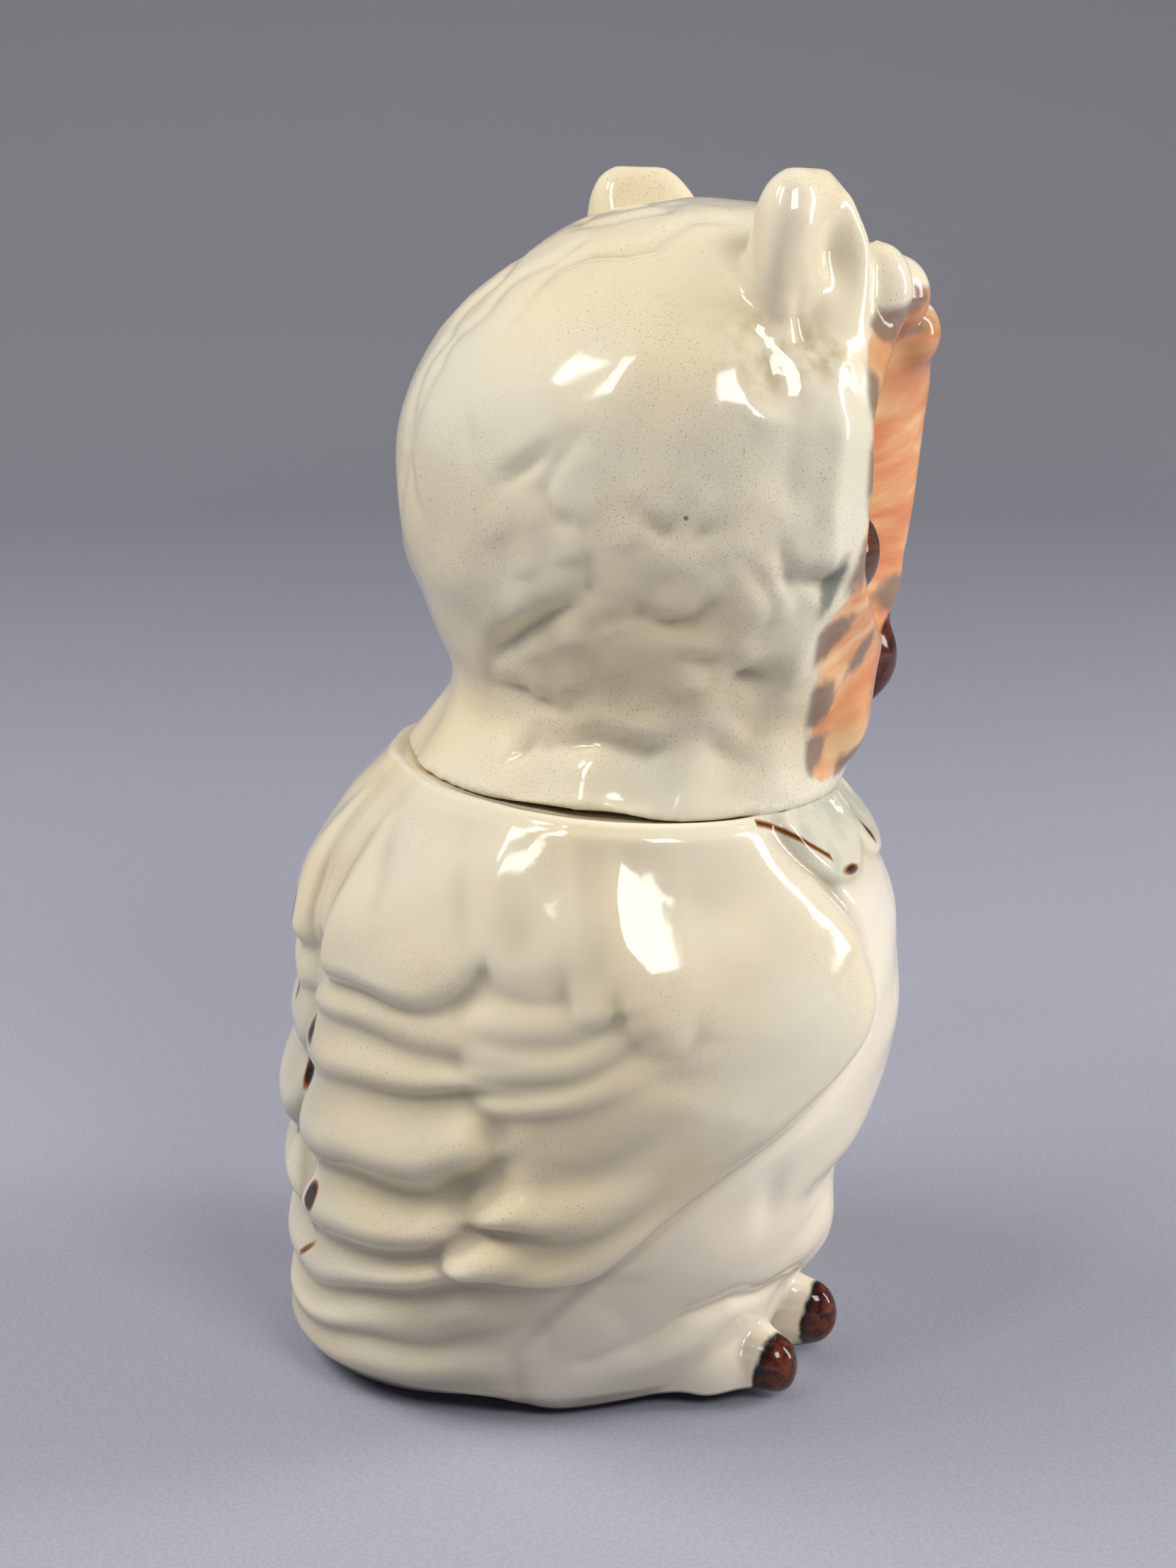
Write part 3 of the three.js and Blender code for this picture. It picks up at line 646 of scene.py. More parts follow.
# %% Strokes and dabs on the head
# how far a stroke stands out, below zero for a groove, its width, and its places
STROKES = [
    (-1.8, 2.0, [(88, 287), (108, 286), (123, 285), (147, 284), (178, 282)]),
    (-2.0, 2.2, [
        (83, 284), (96, 284), (107, 281), (114, 278), (125, 277), (142, 277), (153, 274), (154, 262),
    ]),
    (-1.8, 2.1, [(156, 279), (160, 275), (174, 270), (170, 263), (177, 257)]),
    (-1.7, 2.1, [(178, 257), (176, 250), (178, 240), (179, 230), (174, 219)]),
    (-0.7, 2.2, [(157, 243), (154, 236), (153, 230)]),
    (-1.6, 2.6, [(131, 238), (138, 232), (146, 226)]),
    (-1.5, 2.0, [(127, 239), (132, 232), (134, 226), (132, 221), (126, 218)]),
    (-1.2, 2.4, [(125, 218), (125, 212), (126, 206)]),
    (-2.8, 3.4, [(125, 206), (133, 199), (141, 193), (150, 188), (158, 182)]),
    (-1.6, 3.0, [(114, 204), (117, 199), (124, 196)]),
    (-2.8, 3.2, [(114, 199), (109, 197), (104, 198), (98, 205)]),
    (-2.2, 2.6, [(115, 222), (110, 219), (107, 224)]),
    (-1.4, 2.6, [(106, 216), (103, 219), (99, 220)]),
    (-1.5, 2.4, [(95, 211), (90, 206), (88, 200), (90, 194)]),
    (-2.0, 2.4, [(88, 219), (87, 212), (83, 201)]),
    (-3.5, 3.6, [(84, 207), (79, 205), (72, 204)]),
    (-2.0, 2.6, [(160, 178), (148, 178), (134, 174)]),
    (-1.9, 2.4, [(148, 161), (142, 168)]),
    (-2.7, 3.0, [(139, 166), (125, 168), (113, 166), (104, 169)]),
    (-2.7, 3.4, [(94, 180), (91, 183), (83, 182)]),
    (-1.8, 2.6, [(106, 189), (101, 187), (98, 188)]),
    (-1.4, 2.6, [(90, 172), (84, 164), (78, 159)]),
    (-1.1, 3.0, [(105, 170), (96, 166), (87, 161)]),
    (2.2, 5.0, [(82, 292), (85, 281), (86, 270), (88, 258)]),
    (-2.4, 5.0, [(89, 262), (88, 252), (89, 246)]),
    (1.2, 2.6, [(94, 246), (91, 243), (86, 242)]),
    (-2.0, 3.0, [(80, 273), (79, 264), (78, 258), (75, 253)]),
    (1.8, 4.6, [(73, 252), (75, 238), (77, 222), (76, 210)]),
    (-1.3, 4.0, [(84, 246), (86, 232), (86, 218)]),
    (1.8, 5.0, [(76, 197), (79, 188), (80, 178)]),
]
# place, width and height of each dab
DABS = [
    ((139, 189), 6, 0.9), ((129, 193), 6, 0.9), ((118, 194), 6, 0.8), ((106, 212), 6, 0.9),
    ((111, 214), 5, 0.6), ((103, 192), 5, 0.8), ((94, 203), 6, 0.8), ((80, 187), 6, 1.2),
    ((77, 176), 5, 1.0), ((103, 182), 5, 0.9), ((114, 172), 5, 0.9), ((124, 172), 5, 0.9),
    ((98, 172), 5, 0.8), ((139, 221), 8, 0.7), ((159, 203), 9, 0.7), ((121, 177), 7, -0.8),
    ((113, 179), 6, -0.6), ((98, 194), 5, -0.6), ((91, 181), 5, -0.8), ((101, 229), 9, -0.5),
    ((89, 231), 7, -0.7), ((143, 208), 8, -0.4), ((166, 196), 8, -0.6), ((172, 236), 9, 0.6),
    ((74, 240), 5, 0.8),
]
EAR_DENTS = [
    ((55, -41, 277), (9, 8, 12.5), 5.4), ((58, -34, 264), (7, 6, 7), 2.5), ((50, -42, 292), (5, 3.5, 4), 1.4),
]
print("head:", len(STROKES), "strokes and", len(DABS), "dabs")

# %% Find places on the skin
HEAD_MIDDLE_Z, HEAD_REACH = 216, 62
SURELY_OUTSIDE = 66


def mesh_state(bm):
    bm.normal_update()
    place = np.array([v.co[:] for v in bm.verts]) / MM
    return place, np.array([v.normal[:] for v in bm.verts])


def outside(place, normal):
    from_middle = place - (0, HEAD_AXIS_Y, HEAD_MIDDLE_Z)
    faces_out = (normal * from_middle).sum(1) > 0
    far_out = np.linalg.norm(from_middle, axis=1) > SURELY_OUTSIDE
    return (faces_out | far_out) & (place[:, 2] > 151)


def on_skin(place, out, spots):
    x, y = np.abs(place[:, 0]), place[:, 1] - HEAD_AXIS_Y
    r, a = np.hypot(x, y), np.degrees(np.arctan2(x, -y))
    found = []
    for azimuth, z in spots:
        miss = (np.radians(a - azimuth) * r) ** 2 + (place[:, 2] - z) ** 2 + np.where(out, 0, 1e6)
        best = np.argmin(miss)
        found.append((x[best], place[best, 1], place[best, 2]))
    return np.array(found)


def scales(across, z):
    slanted = (z + 0.35 * across) / 10
    row = np.floor(slanted)
    shifted = across / 12 + 0.5 * (row % 2) + 0.25 * np.sin(2.3 * row)
    column = np.floor(shifted)
    side = 2 * (shifted - column) - 1
    up = slanted - row + 0.4 * side**2
    strength = 0.65 + 0.35 * np.sin(5.1 * column + 3.7 * row)
    return strength * np.clip(1 - up, 0, 1) * (1 - side**2)


place, normal = mesh_state(lid_bm)
out = outside(place, normal)
print("outer skin of the head:", int(out.sum()), "points")

# %% Work the feathers into the head
folded = np.abs(place * (1, 0, 0)) + place * (0, 1, 1)
lift = np.zeros(len(place))
for height, width, spots in STROKES:
    line = on_skin(place, out, spots)
    lift += height * thumbed(folded, line, width)
    lift += max(0, -0.45 * height) * thumbed(folded, line + (0, 0, 1.6 * width), 1.5 * width)
for spot, width, height in DABS:
    away = np.linalg.norm(folded - on_skin(place, out, [spot])[0], axis=1)
    lift += height * np.exp(-((away / width) ** 2))
for at, half, depth in EAR_DENTS:
    lift -= depth * np.exp(-((((folded - at) / half) ** 2).sum(1)) * 1.4)
azimuth = np.arctan2(place[:, 0], HEAD_AXIS_Y - place[:, 1])
a, z = np.abs(np.degrees(azimuth)), place[:, 2]
pleats = np.cos(14 * azimuth + 0.6 * np.sin(3 * azimuth)) + 0.5 * np.cos(9 * azimuth + 1)
lift += 0.7 * pleats * rise(151, 155, z) * rise(174, 160, z) * rise(40, 62, a)
lumps = np.sin(0.15 * place[:, 0] + 1) * np.sin(0.17 * place[:, 1]) * np.sin(0.16 * z + 0.12 * place[:, 1])
lift += 0.5 * lumps * rise(66, 80, a)
small = scales(np.radians(a) * HEAD_REACH, z) * rise(70, 82, a) * rise(158, 138, a)
lift += 0.9 * small * rise(163, 172, z) * rise(238, 214, z)
lift = np.where(out, lift, 0)
place = place + normal * lift[:, None]
print("deepest stroke %.1f mm, highest %.1f mm" % (lift.min(), lift.max()))

# %% Let the rim of the lid wave
rim_wave = np.maximum(0, 0.6 + 0.7 * np.sin(5 * azimuth + 0.5) + 0.5 * np.sin(11 * azimuth))
past_mouth = rise(50, 53.5, np.hypot(place[:, 0], place[:, 1] - MOUTH_Y))
place[:, 2] += rim_wave * rise(157, 151, z) * rise(149.6, 150.4, z) * past_mouth
for vert, point in zip(lid_bm.verts, (place + (0, BODY_AXIS_Y, 0)) * MM):
    vert.co = point
soften(lid_bm, 2)
print("the rim waves by %.1f mm at most" % rim_wave.max())

# %% [markdown]
# ## Where the glaze and the brush went
# The finishes need to know the form: glaze runs thick in a hollow, and each brush mark lies at a place. So
# each point of the mesh carries a few numbers. How hollow a place is comes from a copy that is smoothed many
# times: where the copy lies above the skin, there is a dip. The hollows darken the glaze as pooled glaze and
# also as painted shade. On the jar that number is raised further over the wings and back, most towards the
# bottom, as painted shade, and the downward faces near the floor get a mask for a painted shadow. The marks
# are distances in millimetres, which stay sharp when the material cuts them off at an edge.

# %% Measure hollows and marks
FAR_OFF = 50.0


def hollows(bm, passes):
    copy = as_object(bm, "copy")
    smooth = copy.modifiers.new("many times", "SMOOTH")
    smooth.factor = 0.5
    smooth.iterations = passes
    settled = copy.evaluated_get(bpy.context.evaluated_depsgraph_get()).data
    after = np.array([v.co[:] for v in settled.vertices]) / MM
    throw_away(copy)
    before, normal = mesh_state(bm)
    return ((after - before) * normal).sum(1)


def spot_distance(across, up, half, turn):
    c, s = math.cos(math.radians(turn)), math.sin(math.radians(turn))
    u, v = c * across + s * up, c * up - s * across
    return (np.hypot(u / half[0], v / half[1]) - 1) * min(half)


def carry(bm, values):
    for name, value in values.items():
        layer = bm.verts.layers.float.new(name)
        for vert, amount in zip(bm.verts, value):
            vert[layer] = float(amount)


print("a place %d mm from a mark has none" % FAR_OFF)

# %% Marks of the jar
# place in degrees and height, half sizes, tilt
BACK_DASHES = [
    ((176, 92), (5.2, 2.2), 62), ((181, 77), (4.6, 2.2), 75), ((171, 50), (3.2, 4.2), 20),
    ((177, 41), (5, 1), 30), ((175.5, 33), (4.6, 0.9), -40), ((194, 115), (6, 2.2), 70),
    ((188, 60), (4.2, 1.6), -60), ((192, 96), (4.6, 1.9), 66),
]
BIB_DASHES = [((47, 132.5), (4.6, 1.4), 8), ((30, 136), (3.6, 1.5), 66), ((8, 133), (3.8, 1.4), 10)]
BIB_LINE = [(53, 137), (60, 142.5), (66, 146.5), (71, 148.5)]

jar_place, jar_normal = mesh_state(jar_bm)
jar_place = jar_place - (0, BODY_AXIS_Y, 0)
turn = np.degrees(np.arctan2(-jar_place[:, 0], -jar_place[:, 1]))
r, z = np.hypot(jar_place[:, 0], jar_place[:, 1]), jar_place[:, 2]
a = np.abs(turn)
brown = np.full(len(r), FAR_OFF)
for at, half, tilt in BACK_DASHES:
    across = np.radians((turn - at[0] + 180) % 360 - 180) * r
    brown = np.minimum(brown, spot_distance(across, z - at[1], half, tilt))
for at, half, tilt in BIB_DASHES:
    brown = np.minimum(brown, spot_distance(np.radians(a - at[0]) * r, z - at[1], half, tilt))
rim_line = (z - along(BIB_LINE, a)) * 0.87
rim_end = np.maximum(BIB_LINE[0][0] - a, a - BIB_LINE[-1][0]) * 1.1
claw = np.full(len(r), FAR_OFF)
for toe, tip, claw_z in TOES:
    up = (z - claw_z) / 9.8
    across = np.radians(a - toe) * r / (7.9 - up)
    claw = np.minimum(claw, (np.sqrt(across**2 + up**2 + ((r - tip - 5) / 8.6) ** 2) - 1) * 6)
edge = wing_depth(a, z, r)
bib = rise(129, 137, z + 3 * np.cos(np.radians(a * 15))) * rise(1, -2, edge)
panel = rise(166, 176, a) * rise(52, 64, z) * rise(118, 104, z)
soft = 2 + 15 * rise(64, 36, z)
belly = rise(soft, -1 - soft, edge) * rise(130, 122, z) * rise(140, 110, a)
# painted shadow: the downward faces near the floor, under the lifted edge, are marked to be painted near black
underside_shadow = rise(-0.35, -0.7, jar_normal[:, 2]) * rise(8, 6, z)
# painted shade: over the wings and back, but not the belly, the hollow number is raised, more towards the
# bottom, on top of the glaze pooling in the hollows
pooled_and_shade = hollows(jar_bm, 26) + (0.2 + 0.2 * rise(112, 55, z)) * (1 - belly)
carry(jar_bm, {
    "hollow": pooled_and_shade, "brown": brown, "claw": claw, "bib": bib, "panel": panel, "belly": belly,
    "rim_line": rim_line, "rim_end": rim_end, "underside_shadow": underside_shadow,
})
print("jar: claw paint on", int((claw < 0).sum()), "points, dashes on", int((brown < 0).sum()))

# %% Marks of the head
# height, then how far round from the front the peach reaches
PEACH_EDGE = [
    (150, 58), (156, 65), (166, 69), (176, 71), (186, 73), (194, 74), (200, 69), (212, 67), (225, 66),
    (240, 65), (252, 63), (262, 60), (275, 58),
]
PEACH_TOP = [(0, 255), (8, 257), (16, 262), (24, 267), (38, 268), (48, 262), (60, 254)]
FEATHER_MARKS = [
    ((-58, 190), (3.2, 6), 8), ((-53, 173), (3.6, 6.5), -4), ((-49, 160), (4.6, 6), 10),
    ((-46, 184), (2.4, 5), 4), ((-47, 262), (4, 6), 12), ((-36, 266), (4, 5), 0), ((-23, 262), (4, 6), -6),
    ((-11, 254), (3.6, 6), -10), ((-58, 247), (2.2, 6), 10), ((-61, 228), (1.8, 7), 2),
    ((-60, 208), (2, 6), -6), ((-3, 243), (2, 8), 0), ((-4, 190), (4, 5), 0), ((-38, 158), (3.6, 5), 20),
    ((-26, 156), (3.4, 4.6), 28), ((-14, 156), (3, 4.4), 20),
]
lid_place, lid_normal = mesh_state(lid_bm)
lid_place = lid_place - (0, BODY_AXIS_Y, 0)
x, y, z = np.abs(lid_place[:, 0]), lid_place[:, 1], lid_place[:, 2]
r = np.hypot(x, y - HEAD_AXIS_Y)
a = np.degrees(np.arctan2(x, HEAD_AXIS_Y - y))
out = outside(lid_place, lid_normal)
peach = np.minimum(np.radians(along(PEACH_EDGE, z) - a) * r, np.minimum(along(PEACH_TOP, x) - z, z - 153))
peach = np.where(out, peach, -30)
feather = np.full(len(r), FAR_OFF)
for at, half, tilt in FEATHER_MARKS:
    feather = np.minimum(feather, spot_distance(at[0] + x, z - at[1], half, tilt))
feather = np.where(out & (y < -30), feather, FAR_OFF)
eye = np.where(y < -46, np.hypot(x - EYE[0][0] - 2.5, z - EYE[0][2] - 2), FAR_OFF)
low = np.clip((BEAK[0][2] - z) / BEAK[1][2], 0, 1)
beak_paint = np.hypot(x / (BEAK[1][0] * (1 - 0.5 * low)), (z - BEAK[0][2] + 1) / (BEAK[1][2] - 1)) - 1
beak_paint = np.where(y < -73, beak_paint * 8, FAR_OFF)
grey = spot_distance(np.radians(a - 74) * r, z - 204, (2.6, 6), 20)
dirt = soft_spot(a - 88, z - 256, (9, 11)) + soft_spot(a - 74, z - 256, (6, 6))
dirt = np.where(out, dirt, 0)
blush = soft_spot(x - 24, z - 187, (9, 9))
# the brow number is a painted shadow: the peach gets darker towards the top of the face, under the brows
carry(lid_bm, {
    "hollow": 0.8 * hollows(lid_bm, 30), "peach": peach, "feather": feather, "eye": eye,
    "beak": beak_paint, "grey": grey, "dirt": dirt, "blush": blush, "brow_shadow": rise(228, 256, z),
})
print("head: peach on", int((peach > 0).sum()), "points, eyes on", int((eye < 12).sum()))

# %% [markdown]
# ## Two pieces on one body
# A finished piece is an object at the origin with its place in its mesh. It rides on the owl's one body
# and stands in for one solid, which is hidden.

# %% Turn the clay into pieces
def kept_inside(bm, margin=0.0002):
    place = np.array([v.co[:] for v in bm.verts])
    low, high = np.array(solid_box[0]) + margin, np.array(solid_box[1]) - margin
    scale = np.minimum(1, np.minimum(low[:2] / place.min(0)[:2], high[:2] / place.max(0)[:2]))
    bmesh.ops.scale(bm, vec=(*scale, min(1, high[2] / place[:, 2].max())), verts=bm.verts)
    return [round(float(v), 4) for v in scale]


def finished(bm, name, node):
    print(name, "drawn in to fit the solids by", kept_inside(bm))
    for face in bm.faces:
        face.smooth = True
    piece = as_object(bm, name)
    bm.free()
    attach(piece, "root")
    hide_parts(node)
    return piece


jar = finished(jar_bm, "owl_body", "jar")
lid = finished(lid_bm, "owl_head", "lid")
for piece in (jar, lid):
    piece.data.calc_loop_triangles()
    print(piece.name, len(piece.data.loop_triangles), "triangles")

# %% [markdown]
# ## Glazed clay
# Both pieces wear the same cream glaze, so it is one node group: a warm cream that drifts towards grey-green,
# darker where the glaze pools in the hollows, which is also painted shade there, lighter on the ridges, which
# is thin glaze and also a painted highlight, fine brown speckle in clouds, a few larger specks, and a skin
# that ripples a little, which breaks up the edges of the window lights. Only what changes over the surface
# leaves it.

# %% Helpers for nodes
def plug(tree, socket, value):
    if isinstance(value, bpy.types.NodeSocket):
        tree.links.new(value, socket)
    else:
        socket.default_value = (*value, 1) if isinstance(value, tuple) and len(value) == 3 else value


def reckon(tree, way, *values):
    made = tree.nodes.new("ShaderNodeMath")
    made.operation = way
    for socket, value in zip(made.inputs, values):
        plug(tree, socket, value)
    return made.outputs[0]


def share_of(tree, value, share):
    return reckon(tree, "MULTIPLY", value, share)


def step_between(tree, value, start, end, low=0.0, high=1.0):
    made = tree.nodes.new("ShaderNodeMapRange")
    made.interpolation_type = "SMOOTHSTEP"
    for socket, amount in zip(made.inputs, (value, start, end, low, high)):
        plug(tree, socket, amount)
    return made.outputs[0]


def laid_over(tree, share, under, over):
    made = tree.nodes.new("ShaderNodeMix")
    made.data_type = "RGBA"
    plug(tree, made.inputs[0], share)
    plug(tree, made.inputs[6], under)
    plug(tree, made.inputs[7], over)
    return made.outputs[2]


def cloud(tree, where, scale, detail=2.0, roughness=0.5):
    made = tree.nodes.new("ShaderNodeTexNoise")
    plug(tree, made.inputs["Vector"], where)
    for name, value in (("Scale", scale), ("Detail", detail), ("Roughness", roughness)):
        made.inputs[name].default_value = value
    return made.outputs[0]


def number(tree, name):
    made = tree.nodes.new("ShaderNodeAttribute")
    made.attribute_name = name
    return made.outputs["Fac"]


def place_of(tree):
    return tree.nodes.new("ShaderNodeTexCoord").outputs["Object"]


def stretched(tree, where, scale):
    made = tree.nodes.new("ShaderNodeMapping")
    plug(tree, made.inputs["Vector"], where)
    made.inputs["Scale"].default_value = scale
    return made.outputs[0]


print("node helpers ready")

# %% The shared glaze
WARM_CREAM, GREEN_CREAM = (0.72, 0.612, 0.41), (0.685, 0.632, 0.495)
POOLED_GLAZE_AND_SHADE, THIN_GLAZE_AND_HIGHLIGHT = (0.40, 0.35, 0.245), (0.78, 0.72, 0.57)
PEPPER, SPECK = (0.38, 0.28, 0.16), (0.16, 0.085, 0.03)


def glaze_group():
    tree = bpy.data.node_groups.new("cream_glaze", "ShaderNodeTree")
    for name, first in (("Hollow", 0.0), ("Speckle", 1.0)):
        tree.interface.new_socket(name, in_out="INPUT", socket_type="NodeSocketFloat").default_value = first
    for name, kind in (("Colour", "Color"), ("Roughness", "Float"), ("Ripple", "Float")):
        tree.interface.new_socket(name, in_out="OUTPUT", socket_type="NodeSocket" + kind)
    given, made = tree.nodes.new("NodeGroupInput"), tree.nodes.new("NodeGroupOutput")
    where = place_of(tree)
    drift = step_between(tree, cloud(tree, where, 14, 3), 0.36, 0.64)
    cream = laid_over(tree, drift, WARM_CREAM, GREEN_CREAM)
    # pooled glaze and painted shade: the cream darkens towards grey-brown in the hollows
    pooled_and_shade = step_between(tree, given.outputs["Hollow"], 0.0, 0.7, 0, 0.75)
    cream = laid_over(tree, pooled_and_shade, cream, POOLED_GLAZE_AND_SHADE)
    # thin glaze and painted highlight: the cream lightens on the ridges
    proud_highlight = step_between(tree, given.outputs["Hollow"], -0.05, -0.6, 0, 0.5)
    cream = laid_over(tree, proud_highlight, cream, THIN_GLAZE_AND_HIGHLIGHT)
    fine = step_between(tree, cloud(tree, where, 2300, 1), 0.60, 0.72)
    patch = step_between(tree, cloud(tree, where, 19, 3), 0.40, 0.60)
    peppered = share_of(tree, share_of(tree, fine, patch), given.outputs["Speckle"])
    cream = laid_over(tree, share_of(tree, peppered, 0.55), cream, PEPPER)
    cells = tree.nodes.new("ShaderNodeTexVoronoi")
    plug(tree, cells.inputs["Vector"], where)
    cells.inputs["Scale"].default_value = 48
    pick = tree.nodes.new("ShaderNodeSeparateColor")
    plug(tree, pick.inputs[0], cells.outputs["Color"])
    few = step_between(tree, pick.outputs[0], 0.90, 0.91)
    speck = share_of(tree, step_between(tree, cells.outputs["Distance"], 0.042, 0.026), few)
    cream = laid_over(tree, share_of(tree, speck, 0.85), cream, SPECK)
    sheen = step_between(tree, cloud(tree, where, 60, 3), 0.3, 0.7, 0.07, 0.13)
    finer = share_of(tree, cloud(tree, where, 420, 1), 0.12)
    ripple = reckon(tree, "ADD", cloud(tree, where, 95, 1), finer)
    for name, value in (("Colour", cream), ("Roughness", sheen), ("Ripple", ripple)):
        plug(tree, made.inputs[name], value)
    return tree


CREAM_GLAZE = glaze_group()
print("glaze group:", len(CREAM_GLAZE.nodes), "nodes")

# %% A material that wears it
RIPPLE_STRENGTH, RIPPLE_DEPTH = 0.35, 0.0006


def glazed(name, speckle):
    material = bpy.data.materials.new(name)
    material.use_nodes = True
    tree = material.node_tree
    coat = tree.nodes["Principled BSDF"]
    ground = tree.nodes.new("ShaderNodeGroup")
    ground.node_tree = CREAM_GLAZE
    plug(tree, ground.inputs["Hollow"], number(tree, "hollow"))
    ground.inputs["Speckle"].default_value = speckle
    bump = tree.nodes.new("ShaderNodeBump")
    bump.inputs["Strength"].default_value = RIPPLE_STRENGTH
    bump.inputs["Distance"].default_value = RIPPLE_DEPTH
    plug(tree, bump.inputs["Height"], ground.outputs["Ripple"])
    plug(tree, coat.inputs["Normal"], bump.outputs[0])
    plug(tree, coat.inputs["Roughness"], ground.outputs["Roughness"])
    return material, tree, coat, ground.outputs["Colour"]


print("glaze ripples up to %.1f mm deep" % (RIPPLE_DEPTH / MM))

# %% [markdown]
# ## The painted jar
# On the body the brush left dark brown dashes, each with an amber edge where the colour ran thin, and claws
# mottled from near black to red-brown. The bib is washed grey-green, the belly is a little pinker than the
# wings, and the underside near the floor is painted near black as a painted shadow under the lifted edge,
# mottled like dark clay. Each mark is cut from its distance, with a little noise so that the edge is a brush's
# and not a ruler's.

# %% Paint the jar
BELLY, STRIP, BIB_WASH = (0.78, 0.705, 0.60), (0.46, 0.47, 0.38), (0.44, 0.46, 0.37)
CLAW_DARK, CLAW_RED, CLAW_EDGE = (0.020, 0.005, 0.004), (0.135, 0.028, 0.009), (0.014, 0.006, 0.005)
INK, AMBER = (0.020, 0.008, 0.005), (0.30, 0.105, 0.018)
# two near-black browns for the painted shadow under the jar's lifted edge
UNDER_SHADOW_DARK, UNDER_SHADOW_BROWN = (0.05, 0.042, 0.036), (0.11, 0.09, 0.07)


def brushed(tree, distance, where, wobble, soft):
    shaken = reckon(tree, "MULTIPLY_ADD", cloud(tree, where, 260, 2), wobble, -0.5 * wobble)
    return step_between(tree, reckon(tree, "ADD", distance, shaken), soft, -soft)


def paint_jar():
    material, tree, coat, colour = glazed("cream_glaze_on_body", 1.0)
    where = place_of(tree)
    colour = laid_over(tree, share_of(tree, number(tree, "belly"), 0.6), colour, BELLY)
    colour = laid_over(tree, share_of(tree, number(tree, "panel"), 0.6), colour, STRIP)
    upright = stretched(tree, where, (1, 1, 0.25))
    streak = step_between(tree, cloud(tree, upright, 170, 3), 0.38, 0.62, 0.25, 0.8)
    colour = laid_over(tree, share_of(tree, number(tree, "bib"), streak), colour, BIB_WASH)
    mottle = step_between(tree, cloud(tree, where, 330, 3, 0.6), 0.36, 0.66)
    horn = laid_over(tree, mottle, CLAW_DARK, CLAW_RED)
    horn = laid_over(tree, step_between(tree, number(tree, "claw"), -1.4, -0.3), horn, CLAW_EDGE)
    colour = laid_over(tree, brushed(tree, number(tree, "claw"), where, 0.8, 0.35), colour, horn)
    rim = reckon(tree, "SUBTRACT", reckon(tree, "ABSOLUTE", number(tree, "rim_line")), 0.75)
    rim = reckon(tree, "MAXIMUM", rim, number(tree, "rim_end"))
    brown = reckon(tree, "MINIMUM", number(tree, "brown"), rim)
    ink = laid_over(tree, step_between(tree, brown, -0.9, -0.1), INK, AMBER)
    colour = laid_over(tree, brushed(tree, brown, where, 0.7, 0.35), colour, ink)
    # painted shadow under the lifted edge, mottled between two near-black browns
    underside_shadow_tone = laid_over(tree, step_between(tree, cloud(tree, where, 120, 3), 0.35, 0.65), UNDER_SHADOW_DARK, UNDER_SHADOW_BROWN)
    colour = laid_over(tree, number(tree, "underside_shadow"), colour, underside_shadow_tone)
    plug(tree, coat.inputs["Base Color"], colour)
    return material


jar.data.materials.append(paint_jar())
print("jar paint:", len(jar.data.materials[0].node_tree.nodes), "nodes")

# %% [markdown]
# ## The painted head
# The face is airbrushed peach, from coral to pale apricot at the rim, in streaks that run out from each eye
# like feathers, with a blush under the eyes and a painted shadow under the brows, darker towards the top.
# Grey-brown feather tips lie along its edge. The eyes are dark brown with a blue-grey ring, the beak is
# red-brown, and old dust stays in the roots of the ears.

# %% Rays from the eyes
def rays_from_eye(tree, where):
    split = tree.nodes.new("ShaderNodeSeparateXYZ")
    plug(tree, split.inputs[0], where)
    side = reckon(tree, "SUBTRACT", reckon(tree, "ABSOLUTE", split.outputs[0]), EYE[0][0] * MM)
    up = reckon(tree, "SUBTRACT", split.outputs[2], EYE[0][2] * MM)
    away = reckon(tree, "SQRT", reckon(tree, "MULTIPLY_ADD", side, side, reckon(tree, "MULTIPLY", up, up)))
    away = reckon(tree, "MAXIMUM", away, 0.001)
    made = tree.nodes.new("ShaderNodeCombineXYZ")
    plug(tree, made.inputs[0], share_of(tree, reckon(tree, "DIVIDE", side, away), 2.2))
    plug(tree, made.inputs[1], share_of(tree, reckon(tree, "DIVIDE", up, away), 2.2))
    plug(tree, made.inputs[2], share_of(tree, away, 40))
    return made.outputs[0]


print("the rays start %d mm from the middle, at a height of %d mm" % (EYE[0][0], EYE[0][2]))

# %% Paint the head
DUST, GREY_DAB, FEATHER_TIP = (0.33, 0.235, 0.12), (0.10, 0.11, 0.085), (0.18, 0.13, 0.095)
CORAL, PEACH, APRICOT = (0.60, 0.205, 0.075), (0.69, 0.36, 0.15), (0.79, 0.55, 0.31)
PALE_EDGE, BLUSH, BROW_SHADOW = (0.76, 0.54, 0.34), (0.78, 0.19, 0.09), (0.40, 0.22, 0.11)
IRIS_DARK, IRIS_BROWN, PUPIL = (0.045, 0.014, 0.006), (0.12, 0.045, 0.014), (0.006, 0.005, 0.005)
EYE_RING, EYE_LINE = (0.30, 0.37, 0.40), (0.05, 0.024, 0.014)
BEAK_DARK, BEAK_RED = (0.020, 0.005, 0.003), (0.10, 0.020, 0.008)
# distances from the middle of the eye between which each colour comes in
EYE_BANDS = [(6.6, 6.0, PUPIL), (11.2, 11.8, EYE_RING), (14.2, 14.8, EYE_LINE)]
EYE_EDGE = (15.6, 15.1)


